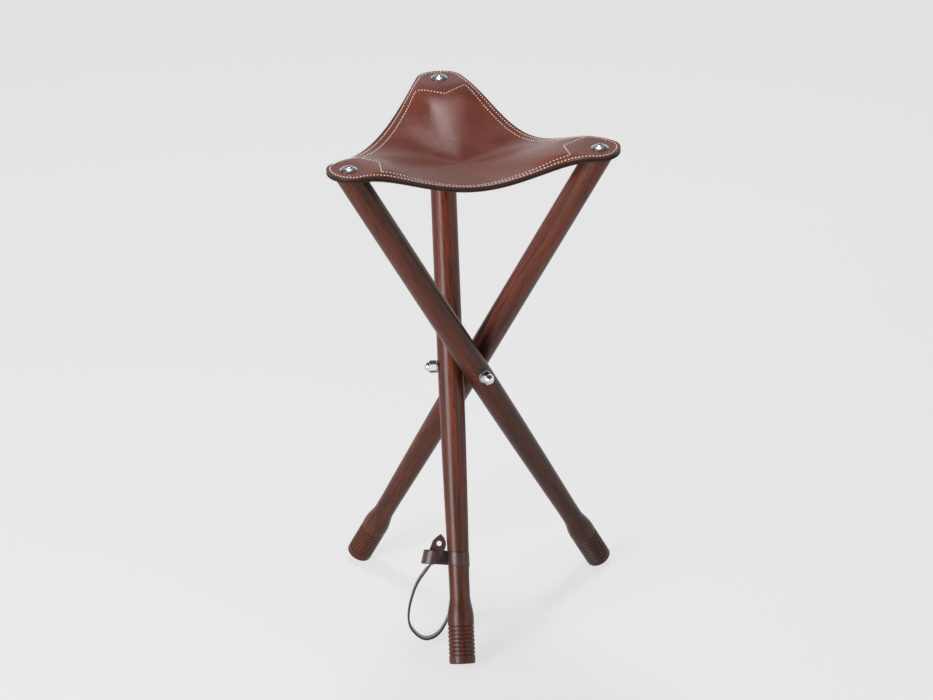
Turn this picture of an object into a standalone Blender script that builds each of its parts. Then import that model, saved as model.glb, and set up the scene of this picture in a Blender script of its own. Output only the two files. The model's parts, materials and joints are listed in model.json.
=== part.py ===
"""Tripod stool: three turned legs that cross on a three-way pivot, under a sling seat of saddle leather.

Metres, +Z up, floor at z = 0. Seen from -Y, leg_a stands to the left, leg_b to the right and leg_c behind
at their tops. Each leg turns on its own arm of the pivot hub to fold.
"""

import math

import bmesh
import bpy
from mathutils import Matrix, Vector

# Legs
LEG_TILT = math.radians(29.2)
LEG_ABOVE_PIVOT = 0.3415
LEG_BELOW_PIVOT = 0.356
PIVOT_OFFSET = 0.021
LEG_RADIUS = 0.0155
ANKLE_RADIUS = 0.0122
ANKLE_LENGTH = 0.020
TAPER_EASE = 1.6
FLARE_HEIGHT = 0.021
FLARE_ROUNDING = 0.4
FOOT_RADIUS = 0.0156
BULB_HEIGHT = 0.0132
GROOVE_COUNT = 8
GROOVE_PITCH = 0.0049
GROOVE_DEPTH = 0.0011
GROOVE_HALF_WIDTH = 0.0010
END_BAND = 0.0105
END_CHAMFER = 0.0014
FLOOR_FLAT_DEPTH = 0.0010
LEG_NAMES = ("leg_a", "leg_b", "leg_c")
LEG_AZIMUTHS = tuple(math.radians(angle) for angle in (210.0, 330.0, 90.0))

# Three-way pivot
ARM_RADIUS = 0.0040
HUB_HEIGHT = 0.013
SPOT_FACE_DEPTH = 0.0009
PIVOT_WASHER_RADIUS = 0.0080
PIVOT_WASHER_THICKNESS = 0.0016
NUT_ACROSS_FLATS = 0.013
NUT_HEX_HEIGHT = 0.0088
NUT_DOME_RADIUS = 0.0060
NUT_THREAD_DEPTH = 0.0100

# Sling seat and its sewn layers
SEAT_THICKNESS = 0.0030
LAYER_THICKNESS = 0.0022
TAB_OUTSET = 0.0028
TAB_LENGTH = 0.0204
TAB_HALF_WIDTH = 0.0271
TAB_SWING = math.radians(74.0)
TAB_BEND = 0.30
SIDE_PULLS = (0.80, 1.00, 0.02)
CENTRE_SAG = 0.041
SIDE_SAGS = (0.0275, 0.032, 0.026)
SIDE_EASE = 2.2
RIDGE_EASE = 1.25
VALLEY_DEPTH = 0.60
EDGE_EASE = 3.5
FLANK_EASE = 4.0
EDGE_BAND_WIDTH = 0.0175
PATCH_REACH = 0.047
ARC_SHARE = 0.15
PATCH_SHARE = 0.30
BUTT_SHARE = 0.0015
OUTLINE_STEP = 0.05
RING_SHARES = (0.0, 0.17, 0.34, 0.50, 0.65, 0.79, 0.90, 1.0)

# Seat screws and cup washers
SCREW_RADIUS = 0.0024
SCREW_LENGTH = 0.027
SCREW_TIP_LENGTH = 0.006
SCREW_HEAD_RADIUS = 0.0052
SCREW_HEAD_DOME = 0.0016
CUP_RADIUS = 0.0102
CUP_HEIGHT = 0.0027
CUP_LIP = 0.0007
CUP_CREST_SHARE = 0.2
CUP_SHOULDER_SHARE = 0.7
CUP_SHOULDER_HEIGHT = 0.0017

# Closing strap on leg_c
STRAP_WIDTH = 0.017
STRAP_THICKNESS = 0.0022
STRAP_DROP = 0.231
STRAP_TIP_LENGTH = 0.013
STRAP_TIP_BLUNT = 0.10
STRAP_TIP_ROUNDING = 0.8
STRAP_HOLE_RADIUS = 0.0031
BAND_SLANT = 0.11
KEEPER_SLACK = 0.0047
KEEPER_DEPTH_SLACK = 0.0029
KEEPER_STANDOFF = 0.0008
KEEPER_LEAN = 0.26
HOOK_END = math.radians(100.0)
BAND_END_MARGIN = math.radians(6.0)

# Fits
GAP = 0.0003
HOLE_CLEARANCE = 0.0004
SEWN_GAP = 0.0006
TURNED_SEGMENTS = 28
SMALL_SEGMENTS = 20

PIVOT_HEIGHT = (
    LEG_BELOW_PIVOT * math.cos(LEG_TILT)
    + (FOOT_RADIUS - END_CHAMFER) * math.sin(LEG_TILT)
    - FLOOR_FLAT_DEPTH
)
MITRE_HEIGHT = PIVOT_HEIGHT + LEG_ABOVE_PIVOT * math.cos(LEG_TILT)
SEAT_TOP = MITRE_HEIGHT + GAP + LAYER_THICKNESS + SEWN_GAP + SEAT_THICKNESS
SCREW_CIRCLE = math.hypot(PIVOT_OFFSET, LEG_ABOVE_PIVOT * math.sin(LEG_TILT))
SCREW_TWIST = math.atan2(PIVOT_OFFSET, LEG_ABOVE_PIVOT * math.sin(LEG_TILT))
FLAT_REACH = SCREW_CIRCLE - LEG_RADIUS / math.cos(LEG_TILT)
TAB_FLAT = FLAT_REACH / (SCREW_CIRCLE + TAB_OUTSET + TAB_LENGTH)
RINGS = tuple(share * TAB_FLAT for share in RING_SHARES) + ((1 + TAB_FLAT) / 2, 1.0)
WASHER_SEAT = LEG_RADIUS - SPOT_FACE_DEPTH + GAP
NUT_SEAT = WASHER_SEAT + PIVOT_WASHER_THICKNESS + GAP


# Shared helpers

def add_material(name, colour, roughness, metallic=0.0):
    """A plain Principled finish."""
    material = bpy.data.materials.new(name)
    material.use_nodes = True
    shader = material.node_tree.nodes["Principled BSDF"]
    shader.inputs["Base Color"].default_value = (*colour, 1.0)
    shader.inputs["Roughness"].default_value = roughness
    shader.inputs["Metallic"].default_value = metallic
    return material


def add_object(name, mesh, material=None, parent=None, matrix=None):
    """Link a mesh as a named object, placed by a world matrix and carried by its parent."""
    item = bpy.data.objects.new(name, mesh)
    bpy.context.scene.collection.objects.link(item)
    if material:
        mesh.materials.clear()
        mesh.materials.append(material)
    item.matrix_world = matrix or Matrix.Identity(4)
    if parent:
        bpy.context.view_layer.update()
        item.parent = parent
        item.matrix_parent_inverse = parent.matrix_world.inverted()
    return item


def finish_mesh(shape, name, sharp_angle=math.radians(35)):
    """Close a bmesh into a mesh with outward faces and smooth shading."""
    bmesh.ops.remove_doubles(shape, verts=shape.verts, dist=1e-6)
    bmesh.ops.recalc_face_normals(shape, faces=shape.faces)
    mesh = bpy.data.meshes.new(name)
    shape.to_mesh(mesh)
    shape.free()
    mesh.shade_smooth()
    mesh.set_sharp_from_angle(angle=sharp_angle)
    return mesh


def turned_shape(profile, segments, closed=False):
    """Spin a profile of (radius, height) points about Z."""
    shape = bmesh.new()
    verts = [shape.verts.new((radius, 0.0, height)) for radius, height in profile]
    edges = [shape.edges.new(pair) for pair in zip(verts, verts[1:])]
    if closed:
        edges.append(shape.edges.new((verts[-1], verts[0])))
    bmesh.ops.spin(
        shape, geom=verts + edges, cent=(0, 0, 0), axis=(0, 0, 1),
        angle=math.tau, steps=segments, use_merge=True,
    )
    bmesh.ops.remove_doubles(shape, verts=shape.verts, dist=1e-6)
    bmesh.ops.recalc_face_normals(shape, faces=shape.faces)
    return shape


def slice_off(shape, point, normal):
    """Cut away what lies beyond a plane and cap the cut."""
    geometry = shape.verts[:] + shape.edges[:] + shape.faces[:]
    cut = bmesh.ops.bisect_plane(
        shape, geom=geometry, dist=1e-7, plane_co=point, plane_no=normal, clear_outer=True,
    )
    rim = [item for item in cut["geom_cut"] if isinstance(item, bmesh.types.BMEdge)]
    bmesh.ops.edgeloop_fill(shape, edges=rim)


def apply_tools(mesh, name, tools):
    """Cut or join a mesh with (operation, tool mesh, tool matrix) entries and return the result."""
    work = add_object(name + "_work", mesh)
    helpers = []
    for operation, tool_mesh, matrix in tools:
        helper = add_object(name + "_tool", tool_mesh, matrix=matrix)
        helper.hide_render = True
        helper.display_type = "WIRE"
        boolean = work.modifiers.new(operation.lower(), "BOOLEAN")
        boolean.operation = operation
        boolean.solver = "EXACT"
        boolean.object = helper
        helpers.append(helper)
    bpy.context.view_layer.update()
    graph = bpy.context.evaluated_depsgraph_get()
    result = bpy.data.meshes.new_from_object(work.evaluated_get(graph))
    for item in [work, *helpers]:
        bpy.data.objects.remove(item, do_unlink=True)
    result.name = name
    result.shade_smooth()
    result.set_sharp_from_angle(angle=math.radians(35))
    return result


def grid_solid(top_rows, bottom_rows, closed_rows=False):
    """A closed sheet from matching rows of points on its upper and lower side."""
    shape = bmesh.new()
    sides = []
    for rows in (top_rows, bottom_rows):
        sides.append([[shape.verts.new(point) for point in row] for row in rows])
    last_row = len(top_rows) - 1
    count = len(top_rows[0])
    span = count if closed_rows else count - 1
    for grid in sides:
        for low, high in zip(grid, grid[1:]):
            for i in range(span):
                j = (i + 1) % count
                shape.faces.new((low[i], low[j], high[j], high[i]))
    upper, lower = sides
    rims = [last_row] if closed_rows else [0, last_row]
    for row in rims:
        for i in range(span):
            j = (i + 1) % count
            shape.faces.new((upper[row][i], upper[row][j], lower[row][j], lower[row][i]))
    if not closed_rows:
        for i in (0, count - 1):
            for row in range(last_row):
                shape.faces.new((upper[row][i], upper[row + 1][i], lower[row + 1][i], lower[row][i]))
    bmesh.ops.remove_doubles(shape, verts=shape.verts, dist=1e-6)
    flat = [face for face in shape.faces if face.calc_area() < 1e-12]
    bmesh.ops.delete(shape, geom=flat, context="FACES")
    bmesh.ops.triangulate(shape, faces=shape.faces)
    return shape


# Turned legs

def ease(share):
    """Smooth step from 0 to 1."""
    return share * share * (3.0 - 2.0 * share)


def foot_heights():
    """Heights on the leg's own axis: last groove, first groove, top of bulb, top of flare, ankle."""
    last_groove = -LEG_BELOW_PIVOT + END_BAND
    first_groove = last_groove + (GROOVE_COUNT - 1) * GROOVE_PITCH
    bulb_top = first_groove + BULB_HEIGHT
    flare_top = bulb_top + FLARE_HEIGHT
    return last_groove, first_groove, bulb_top, flare_top, flare_top + ANKLE_LENGTH


def taper_radius(height):
    """Leg radius between the pivot and the ankle."""
    ankle = foot_heights()[4]
    share = min(max(height / ankle, 0.0), 1.0)
    return LEG_RADIUS + (ANKLE_RADIUS - LEG_RADIUS) * share ** TAPER_EASE


def leg_profile():
    """(radius, height) from the top of the leg down its outer side to the foot."""
    last_groove, first_groove, bulb_top, flare_top, ankle = foot_heights()
    top = LEG_ABOVE_PIVOT + LEG_RADIUS * math.tan(LEG_TILT) + END_CHAMFER
    profile = [(0.0, top), (LEG_RADIUS, top)]
    taper_steps = 8
    for i in range(taper_steps + 1):
        height = ankle * i / taper_steps
        profile.append((taper_radius(height), height))
    flare_steps = 5
    for i in range(flare_steps + 1):
        share = i / flare_steps
        swell = FLARE_ROUNDING * ease(share) + (1 - FLARE_ROUNDING) * share
        radius = ANKLE_RADIUS + (FOOT_RADIUS - ANKLE_RADIUS) * swell
        profile.append((radius, flare_top + (bulb_top - flare_top) * share))
    for i in range(GROOVE_COUNT):
        height = first_groove - i * GROOVE_PITCH
        profile.append((FOOT_RADIUS, height + GROOVE_HALF_WIDTH))
        profile.append((FOOT_RADIUS - GROOVE_DEPTH, height))
        profile.append((FOOT_RADIUS, height - GROOVE_HALF_WIDTH))
    profile.append((FOOT_RADIUS, -LEG_BELOW_PIVOT + END_CHAMFER))
    profile.append((FOOT_RADIUS - END_CHAMFER, -LEG_BELOW_PIVOT))
    profile.append((0.0, -LEG_BELOW_PIVOT))
    return profile


def leg_frame(azimuth):
    """World frame of a leg: origin on its pivot arm, X out along the arm, Z up the leg."""
    turn = Matrix.Rotation(azimuth + math.pi / 2, 4, "Z")
    out = Matrix.Translation((PIVOT_OFFSET, 0, 0))
    return Matrix.Translation((0, 0, PIVOT_HEIGHT)) @ turn @ out @ Matrix.Rotation(LEG_TILT, 4, "X")


def pivot_hole_tool():
    """Cutter along X: the arm's hole, widened to a spot face for the washer."""
    hole = ARM_RADIUS + HOLE_CLEARANCE
    face = PIVOT_WASHER_RADIUS + 2 * HOLE_CLEARANCE
    reach = 2 * LEG_RADIUS
    seat = LEG_RADIUS - SPOT_FACE_DEPTH
    profile = [(0, reach), (face, reach), (face, seat), (hole, seat), (hole, -reach), (0, -reach)]
    return finish_mesh(turned_shape(profile, SMALL_SEGMENTS), "pivot_hole")


def screw_hole_tool(radius, above, below):
    """Cutter along Z for a seat screw, from above its middle to below."""
    profile = [(0, above), (radius, above), (radius, -below), (0, -below)]
    return finish_mesh(turned_shape(profile, SMALL_SEGMENTS), "screw_hole")


def screw_depth():
    """How far the screw reaches into the leg below its mitred top."""
    return SCREW_LENGTH - (SEAT_TOP - MITRE_HEIGHT) - CUP_LIP


def make_leg_mesh():
    """One turned leg in its own frame, mitred level at the top and flatted where it meets the floor."""
    shape = turned_shape(leg_profile(), TURNED_SEGMENTS)
    level = Vector((0, math.sin(LEG_TILT), math.cos(LEG_TILT)))
    slice_off(shape, Vector((0, 0, LEG_ABOVE_PIVOT)), level)
    slice_off(shape, -PIVOT_HEIGHT * level, -level)
    mesh = finish_mesh(shape, "leg")
    along_arm = Matrix.Rotation(math.pi / 2, 4, "Y")
    upright = Matrix.Translation((0, 0, LEG_ABOVE_PIVOT)) @ Matrix.Rotation(-LEG_TILT, 4, "X")
    pilot = screw_hole_tool(SCREW_RADIUS + HOLE_CLEARANCE, LEG_RADIUS, screw_depth() + GAP)
    tools = [("DIFFERENCE", pivot_hole_tool(), along_arm), ("DIFFERENCE", pilot, upright)]
    return apply_tools(mesh, "leg", tools)


# Three-way pivot

def make_hub_mesh():
    """A triangular hub whose three flats each carry a round arm, one for each leg."""
    inner_radius = PIVOT_OFFSET - LEG_RADIUS - GAP
    shape = bmesh.new()
    corners = []
    for i in range(3):
        angle = math.tau * i / 3
        reach = 2 * inner_radius
        corners.append(shape.verts.new((reach * math.cos(angle), reach * math.sin(angle), -HUB_HEIGHT / 2)))
    base = shape.faces.new(corners)
    raised = bmesh.ops.extrude_face_region(shape, geom=[base])
    lifted = [item for item in raised["geom"] if isinstance(item, bmesh.types.BMVert)]
    bmesh.ops.translate(shape, verts=lifted, vec=(0, 0, HUB_HEIGHT))
    mesh = finish_mesh(shape, "hub")
    length = PIVOT_OFFSET + NUT_SEAT + NUT_THREAD_DEPTH - GAP
    profile = [(0, length), (ARM_RADIUS, length), (ARM_RADIUS, 0), (0, 0)]
    tools = []
    for azimuth in LEG_AZIMUTHS:
        arm = finish_mesh(turned_shape(profile, SMALL_SEGMENTS), "arm")
        turn = Matrix.Rotation(azimuth + math.pi / 2, 4, "Z") @ Matrix.Rotation(math.pi / 2, 4, "Y")
        tools.append(("UNION", arm, turn))
    return apply_tools(mesh, "pivot_hub", tools)


def make_pivot_washer_mesh():
    """Flat washer with its axis along Z."""
    bore = ARM_RADIUS + HOLE_CLEARANCE
    profile = [
        (bore, PIVOT_WASHER_THICKNESS), (PIVOT_WASHER_RADIUS, PIVOT_WASHER_THICKNESS),
        (PIVOT_WASHER_RADIUS, 0.0), (bore, 0.0),
    ]
    return finish_mesh(turned_shape(profile, SMALL_SEGMENTS, closed=True), "pivot_washer")


def make_nut_mesh():
    """Acorn nut along Z: a hexagon under a dome, with a blind thread hole."""
    shape = bmesh.new()
    bmesh.ops.create_cone(
        shape, cap_ends=True, segments=6, radius1=NUT_ACROSS_FLATS / math.sqrt(3),
        radius2=NUT_ACROSS_FLATS / math.sqrt(3), depth=NUT_HEX_HEIGHT,
        matrix=Matrix.Translation((0, 0, NUT_HEX_HEIGHT / 2)),
    )
    mesh = finish_mesh(shape, "nut")
    base = NUT_HEX_HEIGHT / 2
    dome_steps = 6
    profile = []
    for i in range(dome_steps + 1):
        angle = math.pi / 2 * (1 - i / dome_steps)
        height = NUT_HEX_HEIGHT + NUT_DOME_RADIUS * math.sin(angle)
        profile.append((NUT_DOME_RADIUS * math.cos(angle), height))
    profile[0] = (0.0, profile[0][1])
    profile += [(NUT_DOME_RADIUS, base), (0.0, base)]
    dome = finish_mesh(turned_shape(profile, SMALL_SEGMENTS), "dome")
    bore = ARM_RADIUS + HOLE_CLEARANCE
    hole_profile = [(0, NUT_THREAD_DEPTH), (bore, NUT_THREAD_DEPTH), (bore, -base), (0, -base)]
    hole = finish_mesh(turned_shape(hole_profile, SMALL_SEGMENTS), "thread_hole")
    still = Matrix.Identity(4)
    return apply_tools(mesh, "acorn_nut", [("UNION", dome, still), ("DIFFERENCE", hole, still)])


# Sling seat: u runs round the outline, whole numbers at the tabs, and s from 0 at the middle to 1 at the edge

def polar(radius, angle):
    return Vector((radius * math.cos(angle), radius * math.sin(angle)))


def tab_angle(corner):
    return LEG_AZIMUTHS[corner % 3] + SCREW_TWIST


def tab_end(angle, swing):
    """Plan point on a tab's rounded end, a half ellipse, and the way along it there."""
    out, across = polar(1.0, angle), polar(1.0, angle + math.pi / 2)
    centre = SCREW_CIRCLE + TAB_OUTSET
    point = out * (centre + TAB_LENGTH * math.cos(swing)) + across * TAB_HALF_WIDTH * math.sin(swing)
    way = across * TAB_HALF_WIDTH * math.cos(swing) - out * TAB_LENGTH * math.sin(swing)
    return point, way.normalized()


def outline(u):
    """Plan point on the seat's edge, and how far along its free side it lies (0 at a tab, 1 at mid-side)."""
    corner = math.floor(u)
    share = u - corner
    here, after = tab_angle(corner), tab_angle(corner + 1)
    if share <= ARC_SHARE:
        return tab_end(here, TAB_SWING * share / ARC_SHARE)[0], 0.0
    if share >= 1 - ARC_SHARE:
        return tab_end(after, -TAB_SWING * (1 - share) / ARC_SHARE)[0], 0.0
    t = (share - ARC_SHARE) / (1 - 2 * ARC_SHARE)
    start, leave = tab_end(here, TAB_SWING)
    end, arrive = tab_end(after, -TAB_SWING)
    pull = SIDE_PULLS[corner % 3] * (end - start).length
    point = (
        (2 * t ** 3 - 3 * t ** 2 + 1) * start + (t ** 3 - 2 * t ** 2 + t) * pull * leave
        + (3 * t ** 2 - 2 * t ** 3) * end + (t ** 3 - t ** 2) * pull * arrive
    )
    return point, math.sin(math.pi * t)


def ridge_drop(reach):
    """Drop of a ridge at a distance from the middle: steep, then level where the leg's top begins."""
    share = min(reach / FLAT_REACH, 1.0)
    slope = 1.0 / (1.0 - TAB_BEND / 2)
    rise = slope * share
    if share >= 1.0 - TAB_BEND:
        rise = 1.0 - slope * (1.0 - share) ** 2 / (2 * TAB_BEND)
    return CENTRE_SAG * (1.0 - rise ** RIDGE_EASE)


def sling_drop(u, s):
    """Drop of the seat's upper side below its tabs: three ridges, valleys between, and drooping sides."""
    edge, side = outline(u)
    facing = edge.normalized().dot(polar(1.0, tab_angle(round(u))))
    valley = (1 - math.cos(3 * math.acos(min(facing, 1.0)))) / 2
    reach = edge.length * (1 - VALLEY_DEPTH * valley)
    sag = SIDE_SAGS[math.floor(u) % 3] * side ** SIDE_EASE
    near_edge = s ** (EDGE_EASE + FLANK_EASE * (1 - side))
    return ridge_drop(s * reach) + (sag - ridge_drop(reach)) * near_edge


def sling_point(u, s, depth):
    """Point on the seat, or a sewn layer at a depth under its upper side, on the facets between RINGS."""
    edge = outline(u)[0]
    for low, high in zip(RINGS, RINGS[1:]):
        if s <= high + 1e-9:
            share = (s - low) / (high - low)
            drop = sling_drop(u, low) * (1 - share) + sling_drop(u, high) * share
            break
    return Vector((edge.x * s, edge.y * s, SEAT_TOP - drop - depth))


def inset_share(u, distance):
    """s at a plan distance in from the edge."""
    point = outline(u)[0]
    along = outline(u + 0.001)[0] - outline(u - 0.001)[0]
    normal = Vector((along.y, -along.x)).normalized()
    return 1.0 - distance / point.dot(normal)


def steps_between(start, end):
    """Outline stations from start to end, on the seat's own stations in between."""
    stations = [start]
    index = math.floor(start / OUTLINE_STEP) + 1
    while index * OUTLINE_STEP < end - 1e-6:
        if index * OUTLINE_STEP > start + 1e-6:
            stations.append(index * OUTLINE_STEP)
        index += 1
    return stations + [end]


def layer_solid(rows_of, depth, thickness):
    """A layer of leather from a function that gives its rows at a depth."""
    return grid_solid(rows_of(depth), rows_of(depth + thickness))


def make_seat_shape():
    count = round(3 / OUTLINE_STEP)
    stations = [i * OUTLINE_STEP for i in range(count)]

    def rows(depth):
        return [[sling_point(u, s, depth) for u in stations] for s in RINGS]

    return grid_solid(rows(0.0), rows(SEAT_THICKNESS), closed_rows=True)


def make_edge_band_shape(corner):
    """The strip sewn under one free side of the seat."""
    stations = steps_between(corner + PATCH_SHARE + BUTT_SHARE, corner + 1 - PATCH_SHARE - BUTT_SHARE)

    def rows(depth):
        inner = [sling_point(u, inset_share(u, EDGE_BAND_WIDTH), depth) for u in stations]
        middle = [sling_point(u, RINGS[-2], depth) for u in stations]
        edge = [sling_point(u, 1.0, depth) for u in stations]
        return [inner, middle, edge]

    return layer_solid(rows, SEAT_THICKNESS + SEWN_GAP, LAYER_THICKNESS)


def patch_share(u, corner):
    """s on the pointed inner end of a corner patch."""
    nose = polar(SCREW_CIRCLE - PATCH_REACH, tab_angle(corner))
    side = corner + math.copysign(PATCH_SHARE, u - corner)
    flank = outline(side)[0] * inset_share(side, EDGE_BAND_WIDTH)
    ray = outline(u)[0]
    run = flank - nose
    return (nose.x * run.y - nose.y * run.x) / (ray.x * run.y - ray.y * run.x)


def make_patch_shape(corner):
    """The pointed piece sewn under one tab, between the tab and the leg's top."""
    stations = steps_between(corner - PATCH_SHARE, corner + PATCH_SHARE)
    starts = [patch_share(u, corner) for u in stations]
    row_count = 7

    def rows(depth):
        result = []
        for row in range(row_count + 1):
            shares = [start + (1 - start) * row / row_count for start in starts]
            result.append([sling_point(u, s, depth) for u, s in zip(stations, shares)])
        return result

    return layer_solid(rows, SEAT_THICKNESS + SEWN_GAP, LAYER_THICKNESS)


def pierced(shape, name, corners):
    """Clear the seat screws' way through a leather layer."""
    mesh = finish_mesh(shape, name)
    tools = []
    for corner in corners:
        spot = polar(SCREW_CIRCLE, tab_angle(corner))
        tool = screw_hole_tool(SCREW_RADIUS + HOLE_CLEARANCE, CENTRE_SAG, CENTRE_SAG)
        tools.append(("DIFFERENCE", tool, Matrix.Translation((spot.x, spot.y, SEAT_TOP))))
    return apply_tools(mesh, name, tools)


def make_cup_washer_mesh():
    """Raised finishing washer, bottom at z = 0, with a cone for the screw's head."""
    throat = SCREW_RADIUS + HOLE_CLEARANCE
    profile = [
        (throat, CUP_LIP + GAP), (SCREW_HEAD_RADIUS + HOLE_CLEARANCE, CUP_HEIGHT),
        (SCREW_HEAD_RADIUS + CUP_CREST_SHARE * (CUP_RADIUS - SCREW_HEAD_RADIUS), CUP_HEIGHT),
        (SCREW_HEAD_RADIUS + CUP_SHOULDER_SHARE * (CUP_RADIUS - SCREW_HEAD_RADIUS), CUP_SHOULDER_HEIGHT),
        (CUP_RADIUS, CUP_LIP), (CUP_RADIUS, 0.0), (throat, 0.0),
    ]
    return finish_mesh(turned_shape(profile, SMALL_SEGMENTS + 4, closed=True), "cup_washer")


def make_screw_mesh():
    """Raised countersunk wood screw, its head's rim level with the cup at z = CUP_HEIGHT."""
    neck = CUP_LIP + 3 * GAP
    dome_steps = 3
    profile = []
    for i in range(dome_steps + 1):
        angle = math.pi / 2 * i / dome_steps
        profile.append((SCREW_HEAD_RADIUS * math.sin(angle), CUP_HEIGHT + SCREW_HEAD_DOME * math.cos(angle)))
    profile += [
        (SCREW_RADIUS, neck), (SCREW_RADIUS, -SCREW_LENGTH + CUP_LIP + SCREW_TIP_LENGTH),
        (0.0, -SCREW_LENGTH + CUP_LIP),
    ]
    return finish_mesh(turned_shape(profile, SMALL_SEGMENTS), "seat_screw")


# Closing strap: a leather band round leg_c with a hook for a keeper, and a tongue tucked into the hook

def smooth_route(points, steps):
    """Points along a smooth curve through the given ones."""
    ends = [2 * points[0] - points[1], *points, 2 * points[-1] - points[-2]]
    route = []
    for a, b, c, d in zip(ends, ends[1:], ends[2:], ends[3:]):
        for i in range(steps):
            t = i / steps
            route.append(0.5 * (
                2 * b + (c - a) * t + (2 * a - 5 * b + 4 * c - d) * t ** 2
                + (3 * b - a - 3 * c + d) * t ** 3
            ))
    return route + [points[-1]]


def ribbon_shape(route, width_ways, widths, thickness):
    """Sweep a flat strip along a route, its width along the given ways."""
    top_rows, bottom_rows = [], []
    for i, point in enumerate(route):
        run = route[min(i + 1, len(route) - 1)] - route[max(i - 1, 0)]
        across = (width_ways[i] - run.normalized() * width_ways[i].dot(run.normalized())).normalized()
        face = run.normalized().cross(across)
        edges = [point - across * widths[i] / 2, point + across * widths[i] / 2]
        top_rows.append([edge + face * thickness / 2 for edge in edges])
        bottom_rows.append([edge - face * thickness / 2 for edge in edges])
    return grid_solid(top_rows, bottom_rows)


def band_radius():
    """Middle of the band's thickness, from the leg's axis."""
    return taper_radius(-STRAP_DROP + STRAP_WIDTH / 2) + HOLE_CLEARANCE + STRAP_THICKNESS / 2


def keeper_half_sizes():
    """Half sizes of the hook's middle line, along the pivot arm and front to back."""
    clear = STRAP_WIDTH / 2 + STRAP_THICKNESS / 2
    return clear + KEEPER_SLACK, clear + KEEPER_DEPTH_SLACK


def keeper_middle():
    """Distance from the leg's axis to the middle of the hook."""
    return band_radius() + KEEPER_STANDOFF + keeper_half_sizes()[0]


def band_height(reach):
    """Height of the band's middle on the leg, by distance towards the keeper."""
    return BAND_SLANT * reach - STRAP_DROP


def band_route():
    """The band's middle line in the leg's own frame: round the hook, along the back, then round the leg."""
    radius, middle = band_radius(), keeper_middle()
    half_long, half_deep = keeper_half_sizes()
    hook_steps, strand_steps, wrap_steps = 11, 7, 20
    plan = []
    for i in range(hook_steps + 1):
        turn = HOOK_END - (HOOK_END + math.pi / 2) * i / hook_steps
        plan.append(Vector((middle + half_long * math.cos(turn), half_deep * math.sin(turn))))
    rear, leg_rear = plan[-1], polar(radius, -math.pi / 2)
    plan += [rear.lerp(leg_rear, i / strand_steps) for i in range(1, strand_steps)]
    inner, outer = radius - STRAP_THICKNESS / 2, radius + STRAP_THICKNESS / 2
    wrap = math.tau - math.acos((inner - 2 * GAP) / outer) - BAND_END_MARGIN
    plan += [polar(radius, -math.pi / 2 - wrap * i / wrap_steps) for i in range(wrap_steps + 1)]
    return [Vector((point.x, point.y, band_height(point.x))) for point in plan]


def band_shape():
    """The band, its hook's end leaning towards the leg."""
    route = band_route()
    ways = []
    for point in route:
        share = (point.x - band_radius()) / (keeper_middle() - band_radius())
        ways.append(Vector((-KEEPER_LEAN * ease(min(max(share, 0.0), 1.0)), 0, 1)))
    return ribbon_shape(route, ways, [STRAP_WIDTH] * len(route), STRAP_THICKNESS)


# The tongue's route from the hook's middle, in metres. Its tip, up the leg and towards it, then its free
# run, to the right (+) or left, front (+) or back, and up. It hangs in a loop and comes up behind the leg.
TIP_ROUTE = ((0.0268, 0.0098), (0.0200, 0.0084), (0.0135, 0.0064), (0.0070, 0.0036), (0.0, -0.0010))
TONGUE_ROUTE = (
    (-0.0060, 0.0037, -0.0065), (-0.0115, 0.0060, -0.0122), (-0.0205, 0.0080, -0.0247),
    (-0.0264, 0.0090, -0.0370), (-0.0311, 0.0095, -0.0523), (-0.0337, 0.0095, -0.0651),
    (-0.0345, 0.0090, -0.0782), (-0.0325, 0.0080, -0.0898), (-0.0270, 0.0070, -0.1002),
    (-0.0194, 0.0055, -0.1084), (-0.0112, 0.0035, -0.1123), (-0.0017, 0.0000, -0.1119),
    (0.0064, -0.0040, -0.1076), (0.0118, -0.0080, -0.1018), (0.0162, -0.0110, -0.0945),
    (0.0205, -0.0110, -0.0830), (0.0243, -0.0090, -0.0690), (0.0270, -0.0062, -0.0530),
    (0.0288, -0.0032, -0.0370),
)
LOOP_WAY = Vector((0.0, 0.94, -0.34))
# Places along the route, counted in its points
TONGUE_HOLE_AT = 1.6
TWIST_FROM, TWIST_RUN = 2.6, 3.4
FLAT_AGAIN_FROM_END, FLAT_AGAIN_RUN = 6.0, 4.0
TONGUE_STEPS = 3


def tongue_route(frame):
    """The tongue's middle line in the world, and how far each point has turned: 0 is flat, 1 edge-on."""
    keeper = frame @ Vector((keeper_middle(), 0, band_height(keeper_middle())))
    to_leg, up_leg = -frame.col[0].to_3d(), frame.col[2].to_3d()
    points = [keeper + up_leg * rise + to_leg * lean for rise, lean in TIP_ROUTE]
    points += [keeper + Vector((right, -front, rise)) for right, front, rise in TONGUE_ROUTE]
    behind_band = band_radius() + STRAP_THICKNESS + 2 * GAP
    for height in (-STRAP_WIDTH / 2, STRAP_WIDTH / 2):
        points.append(frame @ Vector((0, -behind_band, -STRAP_DROP + height)))
    route = smooth_route(points, TONGUE_STEPS)
    twists = []
    for i in range(len(route)):
        at = i / TONGUE_STEPS
        turn_in = ease(min(max((at - TWIST_FROM) / TWIST_RUN, 0.0), 1.0))
        turn_out = ease(min(max((at - len(points) + FLAT_AGAIN_FROM_END) / FLAT_AGAIN_RUN, 0.0), 1.0))
        twists.append(turn_in - turn_out)
    return route, twists


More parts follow.
